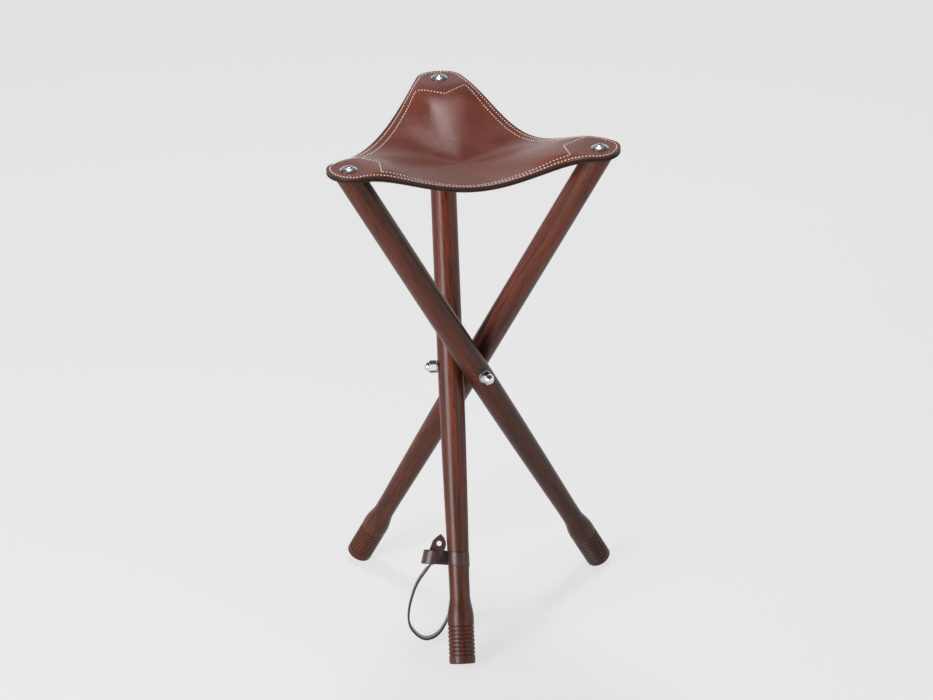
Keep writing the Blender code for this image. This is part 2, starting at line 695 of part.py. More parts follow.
def tongue_shape(route, twists):
    """The pointed strap: its tip stands out of the hook, the rest hangs in a loop behind the leg."""
    ways, widths = [], []
    walked = 0.0
    for i, (point, twist) in enumerate(zip(route, twists)):
        walked += (point - route[max(i - 1, 0)]).length
        ways.append(Vector((1, 0, 0)) * (1 - twist) + LOOP_WAY * twist)
        point_turn = math.pi / 2 * min(walked / STRAP_TIP_LENGTH, 1.0)
        point_share = math.sin(point_turn) ** STRAP_TIP_ROUNDING
        widths.append(STRAP_WIDTH * max(STRAP_TIP_BLUNT, point_share))
    return ribbon_shape(route, ways, widths, STRAP_THICKNESS)


# Build

def build():
    for item in list(bpy.data.objects):
        bpy.data.objects.remove(item, do_unlink=True)

    wood = add_material("stained_wood", (0.10, 0.028, 0.014), 0.32)
    saddle = add_material("saddle_leather", (0.16, 0.052, 0.034), 0.42)
    strap = add_material("strap_leather", (0.085, 0.030, 0.020), 0.45)
    chrome = add_material("bright_chrome", (0.78, 0.79, 0.80), 0.12, 1.0)
    zinc = add_material("zinc_steel", (0.55, 0.57, 0.58), 0.28, 1.0)

    stool = bpy.data.objects.new("stool", None)
    bpy.context.scene.collection.objects.link(stool)
    at_pivot = Matrix.Translation((0, 0, PIVOT_HEIGHT))
    add_object("pivot_hub", make_hub_mesh(), zinc, stool, at_pivot)
    seat = pierced(make_seat_shape(), "seat_leather", (0, 1, 2))
    add_object("seat_leather", seat, saddle, stool)

    leg_mesh = make_leg_mesh()
    nut_mesh = make_nut_mesh()
    pivot_washer_mesh = make_pivot_washer_mesh()
    cup_mesh = make_cup_washer_mesh()
    screw_mesh = make_screw_mesh()
    for corner, (name, azimuth) in enumerate(zip(LEG_NAMES, LEG_AZIMUTHS)):
        letter = name[-1]
        after = LEG_NAMES[(corner + 1) % 3][-1]
        frame = leg_frame(azimuth)
        pivot = bpy.data.objects.new(name + "_pivot", None)
        bpy.context.scene.collection.objects.link(pivot)
        pivot.matrix_world = frame
        pivot.parent = stool
        add_object(name, leg_mesh, wood, pivot, frame)

        arm = at_pivot @ Matrix.Rotation(azimuth + math.pi / 2, 4, "Z") @ Matrix.Rotation(math.pi / 2, 4, "Y")
        washer_place = arm @ Matrix.Translation((0, 0, PIVOT_OFFSET + WASHER_SEAT))
        nut_place = arm @ Matrix.Translation((0, 0, PIVOT_OFFSET + NUT_SEAT))
        add_object("pivot_washer_" + letter, pivot_washer_mesh, zinc, stool, washer_place)
        add_object("acorn_nut_" + letter, nut_mesh, chrome, stool, nut_place)

        spot = polar(SCREW_CIRCLE, tab_angle(corner))
        on_tab = Matrix.Translation((spot.x, spot.y, SEAT_TOP + GAP))
        patch = pierced(make_patch_shape(corner), "corner_patch_" + letter, (corner,))
        band = finish_mesh(make_edge_band_shape(corner), "edge_band_" + letter + after)
        add_object("corner_patch_" + letter, patch, saddle, pivot)
        add_object("edge_band_" + letter + after, band, saddle, stool)
        add_object("cup_washer_" + letter, cup_mesh, chrome, pivot, on_tab)
        add_object("seat_screw_" + letter, screw_mesh, chrome, pivot, on_tab)

    strap_pivot = bpy.data.objects["leg_c_pivot"]
    frame = strap_pivot.matrix_world.copy()
    add_object("strap_band", finish_mesh(band_shape(), "strap_band"), strap, strap_pivot, frame)
    route, twists = tongue_route(frame)
    tongue = finish_mesh(tongue_shape(route, twists), "strap_tongue")
    hole_tool = screw_hole_tool(STRAP_HOLE_RADIUS, STRAP_WIDTH, STRAP_WIDTH)
    across_leg = frame.to_3x3().to_4x4() @ Matrix.Rotation(math.pi / 2, 4, "X")
    through = Matrix.Translation(route[round(TONGUE_HOLE_AT * TONGUE_STEPS)]) @ across_leg
    tongue = apply_tools(tongue, "strap_tongue", [("DIFFERENCE", hole_tool, through)])
    add_object("strap_tongue", tongue, strap, strap_pivot)
    centre_on_origin(stool)


def centre_on_origin(stool):
    """Move the stool so that the floor under the middle of its box is the origin."""
    bpy.context.view_layer.update()
    corners = []
    for item in bpy.data.objects:
        if item.type == "MESH" and item.name != "strap_tongue":
            corners += [item.matrix_world @ vert.co for vert in item.data.vertices]
    low = Vector(min(corner[axis] for corner in corners) for axis in range(3))
    high = Vector(max(corner[axis] for corner in corners) for axis in range(3))
    stool.location = Vector((-(low.x + high.x) / 2, -(low.y + high.y) / 2, -low.z))
    bpy.context.view_layer.update()
    print("box", tuple(round(value, 4) for value in high - low))
    for name in LEG_NAMES:
        joint = bpy.data.objects[name + "_pivot"].matrix_world
        print(name, "pivot", tuple(round(v, 6) for v in joint.translation), "axis", tuple(joint.col[0])[:3])


build()
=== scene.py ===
# %% [markdown]
# # A folding tripod stool
# Three turned legs cross on a small metal hub and carry a sling seat of saddle leather. The packed model
# gives the pieces' places and the way that they move. This lesson dresses it: it turns the legs again with
# finer rings, cuts and sews the leather, and gives each surface its finish.

# %% Load the packed model
import json
import math
from functools import partial

import bmesh
import bpy
from mathutils import Matrix, Vector


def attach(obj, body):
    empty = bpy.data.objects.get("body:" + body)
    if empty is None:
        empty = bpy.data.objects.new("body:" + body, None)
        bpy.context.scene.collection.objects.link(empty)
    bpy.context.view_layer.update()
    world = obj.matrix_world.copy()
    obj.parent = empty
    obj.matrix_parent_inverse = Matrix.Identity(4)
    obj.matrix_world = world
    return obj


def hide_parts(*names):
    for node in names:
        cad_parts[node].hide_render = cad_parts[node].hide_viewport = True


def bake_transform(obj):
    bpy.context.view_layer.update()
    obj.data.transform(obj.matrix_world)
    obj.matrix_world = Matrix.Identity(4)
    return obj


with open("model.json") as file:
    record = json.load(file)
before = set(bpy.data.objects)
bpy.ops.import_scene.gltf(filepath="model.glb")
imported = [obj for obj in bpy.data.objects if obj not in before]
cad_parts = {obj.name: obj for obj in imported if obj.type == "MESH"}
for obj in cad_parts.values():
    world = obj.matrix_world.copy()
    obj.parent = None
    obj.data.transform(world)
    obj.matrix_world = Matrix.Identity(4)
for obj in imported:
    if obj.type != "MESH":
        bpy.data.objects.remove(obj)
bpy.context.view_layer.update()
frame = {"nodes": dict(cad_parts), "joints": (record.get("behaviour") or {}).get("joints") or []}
bpy.context.scene.view_settings.view_transform = "Standard"

# %% [markdown]
# ## Where the legs turn
# Each joint of the packed model names a point on its arm and the arm's direction. From those three arms
# come the hub's middle and a frame for each leg: X out along the arm, Z up the leg. Reading them here
# keeps every later piece in step with the model.

# %% Frames of the hub and the legs
LEG_TILT = math.radians(29.2)
LETTERS = ("a", "b", "c")
joints = {joint["child"]: joint for joint in frame["joints"]}
arm_spots = [Vector(joints["leg_" + letter]["pos_m"]) for letter in LETTERS]
arm_ways = [-Vector(joints["leg_" + letter]["axis"]) for letter in LETTERS]
hub_spot = sum(arm_spots, Vector()) / 3
pivot_offset = (arm_spots[0] - hub_spot).length


def frame_from(x_axis, z_axis, spot):
    """A matrix with these axes at a spot."""
    y_axis = z_axis.cross(x_axis)
    turn = Matrix((x_axis, y_axis, z_axis)).transposed()
    return Matrix.Translation(spot) @ turn.to_4x4()


def leg_frame(corner):
    """X along the arm, Z up the leg, origin where the leg turns."""
    arm = arm_ways[corner].normalized()
    lean = Vector((arm.y, -arm.x, 0.0))
    up_leg = Vector((0, 0, math.cos(LEG_TILT))) + lean * math.sin(LEG_TILT)
    return frame_from(arm, up_leg, arm_spots[corner])


def arm_frame(corner, distance):
    """Z out along an arm, at a distance from the hub's middle."""
    arm = arm_ways[corner].normalized()
    return frame_from(Vector((0, 0, 1)), arm, hub_spot + arm * distance)


print("hub", tuple(round(v, 4) for v in hub_spot), "arm offset", round(pivot_offset, 4))

# %% [markdown]
# ## Helpers for finished pieces
# A finished piece is a mesh whose object stays at the origin. One helper turns a bmesh into such an object,
# shades it, gives it a material and lets it ride on a body of the model in place of the plain solid.

# %% From bmesh to piece

def finished(name, shape, material, body=None, replaces=(), sharp=40):
    """Make a shaded object of a bmesh and let it ride on a body."""
    mesh = bpy.data.meshes.new(name)
    shape.to_mesh(mesh)
    shape.free()
    mesh.shade_smooth()
    mesh.set_sharp_from_angle(angle=math.radians(sharp))
    mesh.materials.append(material)
    piece = bpy.data.objects.new(name, mesh)
    bpy.context.scene.collection.objects.link(piece)
    if replaces:
        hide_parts(*replaces)
    if body:
        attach(piece, body)
    return piece


print("bodies to ride on: hub,", ", ".join(sorted(joints)))

# %% [markdown]
# ## Spinning and carving
# A lathe, a drill and a saw make most hard pieces, and here they are bmesh operators. Spin turns a half
# profile into a round body, as a lathe does. The Boolean modifier drills holes and joins shapes, and its
# result comes back as a bmesh, so no modifier is left on the piece.

# %% Spin and carve

def spun(profile, steps, closed=False):
    """Spin (radius, height) points about Z into a closed body."""
    shape = bmesh.new()
    verts = [shape.verts.new((radius, 0, height)) for radius, height in profile]
    edges = [shape.edges.new(pair) for pair in zip(verts, verts[1:])]
    if closed:
        edges.append(shape.edges.new((verts[-1], verts[0])))
    bmesh.ops.spin(
        shape, geom=verts + edges, cent=(0, 0, 0), axis=(0, 0, 1), angle=math.tau, steps=steps,
        use_merge=True,
    )
    bmesh.ops.remove_doubles(shape, verts=shape.verts, dist=1e-6)
    bmesh.ops.recalc_face_normals(shape, faces=shape.faces)
    return shape


def carved(shape, tools):
    """Cut or join a bmesh with (operation, tool bmesh) pairs, and return the result as a bmesh."""
    items = []
    for part in [shape, *[tool for _, tool in tools]]:
        mesh = bpy.data.meshes.new("carving")
        part.to_mesh(mesh)
        part.free()
        item = bpy.data.objects.new("carving", mesh)
        bpy.context.scene.collection.objects.link(item)
        items.append(item)
    for (operation, _), item in zip(tools, items[1:]):
        boolean = items[0].modifiers.new(operation, "BOOLEAN")
        boolean.operation = operation
        boolean.solver = "EXACT"
        boolean.object = item
    bpy.context.view_layer.update()
    graph = bpy.context.evaluated_depsgraph_get()
    result = bmesh.new()
    result.from_mesh(items[0].evaluated_get(graph).to_mesh())
    for item in items:
        bpy.data.objects.remove(item, do_unlink=True)
    return result


def dome_profile(radius, rise, base, steps):
    """(radius, height) points over a dome, from its crown down to its base."""
    angles = [math.pi / 2 * i / steps for i in range(steps + 1)]
    return [(radius * math.sin(angle), base + rise * math.cos(angle)) for angle in angles]


trial = spun([(1, 0), (2, 0), (2, 1), (1, 1)], 12, closed=True)
print("a trial ring has", len(trial.faces), "faces")
trial.free()

# %% [markdown]
# ## Finishes
# Every finish is a Principled shader with a little pattern on Object coordinates. A short helper adds a
# node, sets its inputs and links the rest, so that each finish below reads as a list of its parts.

# %% Node helpers

def add_node(tree, kind, inputs=None, **settings):
    """Add a node to a tree. Inputs are values, or sockets to link."""
    node = tree.nodes.new(kind)
    for key, value in settings.items():
        setattr(node, key, value)
    for key, value in (inputs or {}).items():
        if isinstance(value, bpy.types.NodeSocket):
            tree.links.new(value, node.inputs[key])
        else:
            node.inputs[key].default_value = value
    return node


class Finish:
    """A material with a Principled shader and short ways to add nodes."""

    def __init__(self, name, roughness, metallic=0.0, coat=0.0, coat_roughness=0.1):
        self.material = bpy.data.materials.new(name)
        self.material.use_nodes = True
        self.tree = self.material.node_tree
        self.shader = self.tree.nodes["Principled BSDF"]
        self.shader.inputs["Roughness"].default_value = roughness
        self.shader.inputs["Metallic"].default_value = metallic
        self.shader.inputs["Coat Weight"].default_value = coat
        self.shader.inputs["Coat Roughness"].default_value = coat_roughness

    def node(self, kind, inputs=None, **settings):
        """Add a node to this finish."""
        return add_node(self.tree, kind, inputs, **settings)

    def place(self, scale=(1, 1, 1), turn=None):
        """Object coordinates, turned into a piece's own frame and scaled."""
        spot = self.node("ShaderNodeTexCoord").outputs["Object"]
        if turn is not None:
            inputs = {"Vector": spot, "Location": turn.to_translation(), "Rotation": turn.to_euler()}
            spot = self.node("ShaderNodeMapping", inputs, vector_type="TEXTURE").outputs["Vector"]
        return self.node("ShaderNodeMapping", {"Vector": spot, "Scale": scale}).outputs["Vector"]

    def noise(self, spot, scale, detail=4.0, roughness=0.55):
        """Soft noise, from 0 to 1."""
        inputs = {"Vector": spot, "Scale": scale, "Detail": detail, "Roughness": roughness}
        return self.node("ShaderNodeTexNoise", inputs).outputs["Fac"]

    def ramp(self, factor, stops):
        """Colours by factor, as (position, colour) stops."""
        ramp = self.node("ShaderNodeValToRGB", {"Fac": factor})
        elements = ramp.color_ramp.elements
        while len(elements) < len(stops):
            elements.new(0.5)
        for element, (position, colour) in zip(elements, stops):
            element.position = position
            element.color = (*colour, 1.0)
        return ramp.outputs["Color"]

    def mixed(self, factor, first, second, blend="MIX"):
        """One colour over another."""
        inputs = {0: factor, 6: first, 7: second}
        return self.node("ShaderNodeMix", inputs, data_type="RGBA", blend_type=blend).outputs[2]

    def between(self, value, low, high, to_low=0.0, to_high=1.0):
        """A value stretched from one range to another and held there."""
        inputs = {"Value": value, "From Min": low, "From Max": high, "To Min": to_low, "To Max": to_high}
        return self.node("ShaderNodeMapRange", inputs).outputs["Result"]

    def combine(self, operation, first, second):
        """Two numbers put together."""
        return self.node("ShaderNodeMath", {0: first, 1: second}, operation=operation).outputs[0]

    def bump(self, height, strength, distance):
        """Raise the surface by a height."""
        inputs = {"Height": height, "Strength": strength, "Distance": distance}
        node = self.node("ShaderNodeBump", inputs)
        self.tree.links.new(node.outputs["Normal"], self.shader.inputs["Normal"])

    def paint(self, colour=None, roughness=None):
        """Link the shader's colour and roughness."""
        if colour is not None:
            self.tree.links.new(colour, self.shader.inputs["Base Color"])
        if roughness is not None:
            self.tree.links.new(roughness, self.shader.inputs["Roughness"])


print("short ways in a finish:", ", ".join(name for name in vars(Finish) if not name.startswith("_")))

# %% [markdown]
# ## Colours
# Colours are easiest to name as a screen shows them, from 0 to 255. Shaders reckon with light, where a
# screen's middle grey is only about a fifth of white, so a helper turns one into the other.

# %% Screen colours

def srgb(red, green, blue):
    """A colour as it is seen on screen, 0 to 255, in the linear values that shaders use."""
    values = [channel / 255 for channel in (red, green, blue)]
    return tuple(v / 12.92 if v <= 0.04045 else ((v + 0.055) / 1.055) ** 2.4 for v in values)


print("middle grey is", round(srgb(128, 128, 128)[0], 3), "of white")

# %% [markdown]
# ## Stained wood
# The legs are a dense hardwood, stained dark red-brown and varnished. The grain runs along each leg, so
# each leg has its own copy of the finish, turned to its own frame: soft bands of lighter and darker stain,
# and fine dark pores drawn out along the leg. Each copy is made lighter or darker as a whole, which is
# painted light and shade for how the lamps fall on that leg. The wood is also darker towards the foot. A
# clear coat gives the long bright streak of the varnish.

# %% Wood finish
# Each leg's stain scaled lighter or darker as a whole: painted light and shade for how the lamps fall on
# it.
LEG_PAINTED_SHADE = (0.76, 0.90, 1.00)
STAIN_TONES = ((0.30, (60, 27, 18)), (0.46, (93, 42, 26)), (0.60, (124, 58, 36)), (0.74, (81, 37, 24)))
FOOT_DARK_TONE, PORE_TONE = (62, 31, 21), (32, 14, 11)
BANDS_ACROSS, BANDS_ALONG = 115, 3.4
PORES_ACROSS, PORES_ALONG = 700, 46
# Darker towards the foot: a darker tone mixed in low on each leg.
FOOT_DARK_END, FOOT_DARK_START, FOOT_DARK_SHARE = -0.34, -0.10, 0.50
PORE_SHARE, PORE_FROM, PORE_TO = 0.75, 0.53, 0.66
GRAIN_SHIFT = 0.37
VARNISH_SMOOTH, VARNISH_ROUGH = 0.36, 0.50


def stained_wood(corner):
    """Wood with its grain along one leg."""
    finish = Finish("stained_wood_" + LETTERS[corner], 0.40, coat=0.26, coat_roughness=0.20)
    finish.shader.inputs["Specular IOR Level"].default_value = 0.22
    turn = leg_frame(corner)
    shift = GRAIN_SHIFT * (corner + 1)
    band_spot = finish.place((BANDS_ACROSS, BANDS_ACROSS, BANDS_ALONG + shift), turn)
    bands = finish.noise(band_spot, 1.0, 5.0, 0.6)
    pore_spot = finish.place((PORES_ACROSS, PORES_ACROSS, PORES_ALONG + shift), turn)
    pores = finish.noise(pore_spot, 1.0, 3.0, 0.5)
    # This leg's painted light and shade scales the whole stain.
    depth = LEG_PAINTED_SHADE[corner]
    stops = [(at, srgb(*(depth * channel for channel in tone))) for at, tone in STAIN_TONES]
    stain = finish.ramp(bands, stops)
    pore_depth = finish.between(pores, PORE_FROM, PORE_TO)
    faint = finish.combine("MULTIPLY", pore_depth, PORE_SHARE)
    # Darker towards the foot, by height along the leg.
    up_leg = finish.node("ShaderNodeSeparateXYZ", {"Vector": finish.place(turn=turn)}).outputs["Z"]
    foot_dark = finish.between(up_leg, FOOT_DARK_END, FOOT_DARK_START, FOOT_DARK_SHARE, 0.0)
    stain = finish.mixed(foot_dark, stain, (*srgb(*FOOT_DARK_TONE), 1.0))
    finish.paint(
        finish.mixed(faint, stain, (*srgb(*PORE_TONE), 1.0)),
        finish.between(bands, 0.2, 0.8, VARNISH_SMOOTH, VARNISH_ROUGH),
    )
    finish.bump(finish.combine("SUBTRACT", 1.0, pore_depth), 0.16, 0.0002)
    return finish.material


wood = [stained_wood(corner) for corner in range(3)]
print("wood finishes", len(wood))

# %% [markdown]
# ## Turned legs
# A lathe makes the real leg, and spin makes this one: a profile of half the leg goes once round its axis.
# The leg tapers from the pivot to a slim ankle, flares into the foot and carries eight rings there.

# %% Leg profile
LEG_ABOVE, LEG_BELOW = 0.3415, 0.356
LEG_RADIUS, ANKLE_RADIUS, FOOT_RADIUS = 0.0155, 0.0122, 0.0156
RING_COUNT, RING_PITCH, RING_DEPTH = 8, 0.0049, 0.0011
RING_SWELL = 0.00025
GROOVE_HALF = 0.001
GROOVE_SHAPE = ((1.15, 0.0), (0.75, 0.3), (0.3, 0.85), (-0.3, 0.85), (-0.75, 0.3), (-1.15, 0.0))
END_BAND, BULB, FLARE, ANKLE = 0.0105, 0.0132, 0.021, 0.020
END_CHAMFER, LAST_EDGE = 0.0014, 0.004
BLANK_TOP, STRAIGHT_RINGS = 0.36, (0.20, 0.08)
TAPER_STEPS, FLARE_STEPS, TAPER_EASE = 24, 10, 1.6


def ease(share):
    """Smooth step from 0 to 1."""
    return share * share * (3 - 2 * share)


last_ring = -LEG_BELOW + END_BAND
first_ring = last_ring + (RING_COUNT - 1) * RING_PITCH
bulb_top = first_ring + BULB
flare_top = bulb_top + FLARE
ankle_top = flare_top + ANKLE


def taper(height):
    """Leg radius between the pivot and the ankle."""
    share = min(max(height / ankle_top, 0), 1)
    return LEG_RADIUS + (ANKLE_RADIUS - LEG_RADIUS) * share ** TAPER_EASE


def leg_profile():
    """(radius, height) from the top down the outer side to the foot."""
    points = [(0, BLANK_TOP), (LEG_RADIUS, BLANK_TOP)]
    points += [(LEG_RADIUS, height) for height in STRAIGHT_RINGS]
    heights = [ankle_top * i / TAPER_STEPS for i in range(TAPER_STEPS + 1)]
    points += [(taper(height), height) for height in heights]
    for i in range(FLARE_STEPS + 1):
        share = i / FLARE_STEPS
        radius = ANKLE_RADIUS + (FOOT_RADIUS - ANKLE_RADIUS) * (0.4 * ease(share) + 0.6 * share)
        points.append((radius, flare_top - FLARE * share))
    points.append((FOOT_RADIUS + RING_SWELL, bulb_top - 0.4 * BULB))
    for i in range(RING_COUNT):
        groove = first_ring - i * RING_PITCH
        for step, depth in GROOVE_SHAPE:
            points.append((FOOT_RADIUS - RING_DEPTH * depth, groove + GROOVE_HALF * step))
        if i < RING_COUNT - 1:
            points.append((FOOT_RADIUS + 0.5 * RING_SWELL, groove - RING_PITCH / 2))
    end, bow = -LEG_BELOW, 0.4 * END_CHAMFER
    points += [(FOOT_RADIUS, end + LAST_EDGE), (FOOT_RADIUS, end + END_CHAMFER)]
    points += [(FOOT_RADIUS - bow, end + bow), (FOOT_RADIUS - END_CHAMFER, end), (0, end)]
    return points


print("leg profile points", len(leg_profile()))

# %% [markdown]
# ## Cutting the legs
# The spun leg is longer than the real one. A plane cuts its top level for the seat and softens the rim
# there, another gives the foot the small flat that it stands on, and a drill bores the hole for the arm
# with a wider, shallow face for the washer.

# %% Cut the legs
ARM_RADIUS, FIT = 0.0040, 0.0004
SPOT_FACE, SPOT_RADIUS, BORE_REACH = LEG_RADIUS - 0.0009, 0.0088, 0.03
TOP_SOFTENED = 0.0012


def cut_level(shape, spot, normal, soften):
    """Cut off what lies beyond a plane, cap it and soften the rim."""
    geometry = shape.verts[:] + shape.edges[:] + shape.faces[:]
    cut = bmesh.ops.bisect_plane(
        shape, geom=geometry, dist=1e-7, plane_co=spot, plane_no=normal, clear_outer=True,
    )
    rim = [item for item in cut["geom_cut"] if isinstance(item, bmesh.types.BMEdge)]
    bmesh.ops.edgeloop_fill(shape, edges=rim)
    if soften:
        bmesh.ops.bevel(
            shape, geom=rim, offset=soften, segments=3, profile=0.5, affect="EDGES", material=-1,
        )


def make_leg(corner):
    """One leg, bored for its arm, in its place."""
    shape = spun(leg_profile(), 72)
    level = Vector((0, math.sin(LEG_TILT), math.cos(LEG_TILT)))
    cut_level(shape, Vector((0, 0, LEG_ABOVE)), level, TOP_SOFTENED)
    cut_level(shape, -hub_spot.z * level, -level, 0.0)
    bore = spun([
        (0, BORE_REACH), (SPOT_RADIUS, BORE_REACH), (SPOT_RADIUS, SPOT_FACE), (ARM_RADIUS + FIT, SPOT_FACE),
        (ARM_RADIUS + FIT, -BORE_REACH), (0, -BORE_REACH),
    ], 48)
    bore.transform(Matrix.Rotation(math.pi / 2, 4, "Y"))
    shape = carved(shape, [("DIFFERENCE", bore)])
    shape.transform(leg_frame(corner))
    name = "leg_" + LETTERS[corner]
    return finished("turned_" + name, shape, wood[corner], name, [name], 30)


turned_legs = [make_leg(corner) for corner in range(3)]
print("legs", [len(leg.data.polygons) for leg in turned_legs])

# %% [markdown]
# ## Plated metal
# The nuts are bright chrome, the cup washers and screws a softer nickel, and the hub and flat washers a
# dull zinc. Polished metal is mostly what it mirrors, so its finish only needs a fine unevenness in its
# gloss.

# %% Metal finishes

def plated(name, colour, roughness):
    """Metal with fine wear in its gloss."""
    finish = Finish(name, roughness, metallic=1.0)
    wear = finish.noise(finish.place(), 420.0, 3.0)
    finish.paint(
        finish.ramp(wear, [(0.3, tuple(0.86 * c for c in colour)), (0.7, colour)]),
        finish.between(wear, 0.3, 0.8, roughness * 0.7, roughness * 1.6),
    )
    return finish.material


chrome = plated("bright_chrome", srgb(226, 227, 229), 0.13)
nickel = plated("dull_nickel", srgb(188, 191, 195), 0.26)
zinc = plated("zinc_steel", srgb(176, 178, 180), 0.32)
frame["nodes"]["pivot_hub"].data.materials.clear()
frame["nodes"]["pivot_hub"].data.materials.append(zinc)
print("metals", chrome.name, nickel.name, zinc.name)

# %% [markdown]
# ## Nuts and washers at the pivot
# An acorn nut is a hexagon with its corners turned off and a dome on its end. Here a six-sided prism is
# kept only where it lies in a spun blank with chamfered ends, and a spun dome is joined to it. What touches
# on the real stool is kept a hair's breadth apart.

# %% Pivot hardware
CONTACT = 0.0003
WASHER_AT = pivot_offset + SPOT_FACE + CONTACT
WASHER_THICK = 0.0016
NUT_AT = WASHER_AT + WASHER_THICK + CONTACT
HEX_HEIGHT, ACROSS = 0.0088, 0.013
DOME_RADIUS, DOME_RISE, DOME_SUNK = 0.0060, 0.0062, 0.0002
NUT_TURN, NUT_TURN_STEP = 12, 17


def acorn_nut():
    """Nut along Z, seat at z = 0."""
    corner_radius = ACROSS / math.sqrt(3)
    shape = bmesh.new()
    bmesh.ops.create_cone(
        shape, cap_ends=True, segments=6, radius1=corner_radius, radius2=corner_radius, depth=HEX_HEIGHT,
        matrix=Matrix.Translation((0, 0, HEX_HEIGHT / 2)),
    )
    blank = spun([
        (0, HEX_HEIGHT), (0.0062, HEX_HEIGHT), (0.0078, HEX_HEIGHT - 0.0010), (0.0078, 0.0008),
        (0.0064, 0), (0, 0),
    ], 48)
    dome = dome_profile(DOME_RADIUS, DOME_RISE, HEX_HEIGHT - DOME_SUNK, 10)
    dome += [(DOME_RADIUS, HEX_HEIGHT - 0.003), (0, HEX_HEIGHT - 0.003)]
    hole = spun([(0, 0.010), (ARM_RADIUS + FIT, 0.010), (ARM_RADIUS + FIT, -0.002), (0, -0.002)], 32)
    return carved(shape, [("INTERSECT", blank), ("UNION", spun(dome, 48)), ("DIFFERENCE", hole)])


def flat_washer():
    """Washer along Z with softened rims, seat at z = 0."""
    bore, rim, soft = ARM_RADIUS + FIT, 0.0080, 0.0003
    return spun([
        (bore, 0), (rim - soft, 0), (rim, soft), (rim, WASHER_THICK - soft), (rim - soft, WASHER_THICK),
        (bore, WASHER_THICK),
    ], 48, closed=True)


for corner, letter in enumerate(LETTERS):
    nut = acorn_nut()
    nut_turn = math.radians(NUT_TURN + NUT_TURN_STEP * corner)
    nut.transform(arm_frame(corner, NUT_AT) @ Matrix.Rotation(nut_turn, 4, "Z"))
    finished("domed_nut_" + letter, nut, chrome, "hub", ["acorn_nut_" + letter], 28)
    washer = flat_washer()
    washer.transform(arm_frame(corner, WASHER_AT))
    finished("flat_washer_" + letter, washer, zinc, "hub", ["pivot_washer_" + letter])
print("nuts seated", round(NUT_AT, 4), "m from the hub's middle")

# %% [markdown]
# ## The shape of the sling
# The seat is one triangle of thick leather, held at three tabs. Its surface is a formula with two numbers:
# u goes round the edge, whole numbers at the tabs, and s goes from the middle to the edge. First comes the
# plan. Each tab ends in a part of an ellipse, and a smooth curve joins it to the next along the free side.
# The three sides differ a little, as in the photograph.

# %% Sling sizes and plan
MITRE = hub_spot.z + LEG_ABOVE * math.cos(LEG_TILT)
SEAT_THICK, LAYER_THICK, SEWN_GAP = 0.0030, 0.0022, 0.0006
SEAT_TOP = MITRE + CONTACT + LAYER_THICK + SEWN_GAP + SEAT_THICK
LEAN_REACH = LEG_ABOVE * math.sin(LEG_TILT)
SCREW_CIRCLE = math.hypot(pivot_offset, LEAN_REACH)
SCREW_TWIST = math.atan2(pivot_offset, LEAN_REACH)
TAB_CENTRE, TAB_LONG, TAB_WIDE = SCREW_CIRCLE + 0.0028, 0.0204, 0.0271
TAB_SWING, TAB_BEND, SIDE_PULLS = math.radians(74), 0.30, (0.80, 1.00, 0.02)
CENTRE_SAG, SIDE_SAGS, SIDE_EASE = 0.041, (0.0275, 0.032, 0.026), 2.2
RIDGE_EASE, VALLEY_DEPTH, EDGE_EASE, FLANK_EASE = 1.25, 0.60, 3.5, 4.0
MIDDLE_ROUND = 0.006
ARC_SHARE, PATCH_SHARE = 0.15, 0.30
FLAT_REACH = SCREW_CIRCLE - LEG_RADIUS / math.cos(LEG_TILT)


def polar(radius, angle):
    """Plan point at a distance and an angle from the stool's middle."""
    return Vector((radius * math.cos(angle), radius * math.sin(angle)))


def tab_angle(corner):
    """Azimuth of a tab's screw from the stool's middle."""
    arm = arm_ways[corner % 3]
    return math.atan2(-arm.x, arm.y) + SCREW_TWIST


def tab_end(angle, swing, way=False):
    """Plan point on a tab's rounded end, or the way along it there."""
    out, across = polar(1.0, angle), polar(1.0, angle + math.pi / 2)
    if way:
        return (across * TAB_WIDE * math.cos(swing) - out * TAB_LONG * math.sin(swing)).normalized()
    return out * (TAB_CENTRE + TAB_LONG * math.cos(swing)) + across * TAB_WIDE * math.sin(swing)


def outline(u):
    """Plan point on the edge, and how far along its free side it lies (0 at a tab, 1 at mid-side)."""
    corner = math.floor(u)
    share = u - corner
    here = tab_angle(corner)
    after = here + math.tau / 3
    if share <= ARC_SHARE:
        return tab_end(here, TAB_SWING * share / ARC_SHARE), 0.0
    if share >= 1 - ARC_SHARE:
        return tab_end(after, -TAB_SWING * (1 - share) / ARC_SHARE), 0.0
    t = (share - ARC_SHARE) / (1 - 2 * ARC_SHARE)
    start, end = tab_end(here, TAB_SWING), tab_end(after, -TAB_SWING)
    pull = SIDE_PULLS[corner % 3] * (end - start).length
    leave, arrive = tab_end(here, TAB_SWING, True) * pull, tab_end(after, -TAB_SWING, True) * pull
    point = (
        (2 * t ** 3 - 3 * t ** 2 + 1) * start + (t ** 3 - 2 * t ** 2 + t) * leave
        + (3 * t ** 2 - 2 * t ** 3) * end + (t ** 3 - t ** 2) * arrive
    )
    return point, math.sin(math.pi * t)


def edge_reach(u):
    """Distance from the stool's middle to the edge's tangent line."""
    point = outline(u)[0]
    along = outline(u + 0.001)[0] - outline(u - 0.001)[0]
    return point.dot(Vector((along.y, -along.x)).normalized())


print("tab circle", round(TAB_CENTRE, 4), "edge reach at a tab", round(edge_reach(0), 4))

# %% [markdown]
# ## The drop of the sling
# Stretched leather can't sag freely: three ridges run from the tabs to the low middle, like the poles of a
# tent, and between them the free sides droop. The drop below the tabs follows the tent inside, and turns
# into the droop of the free side close to the edge.

# %% Sling heights

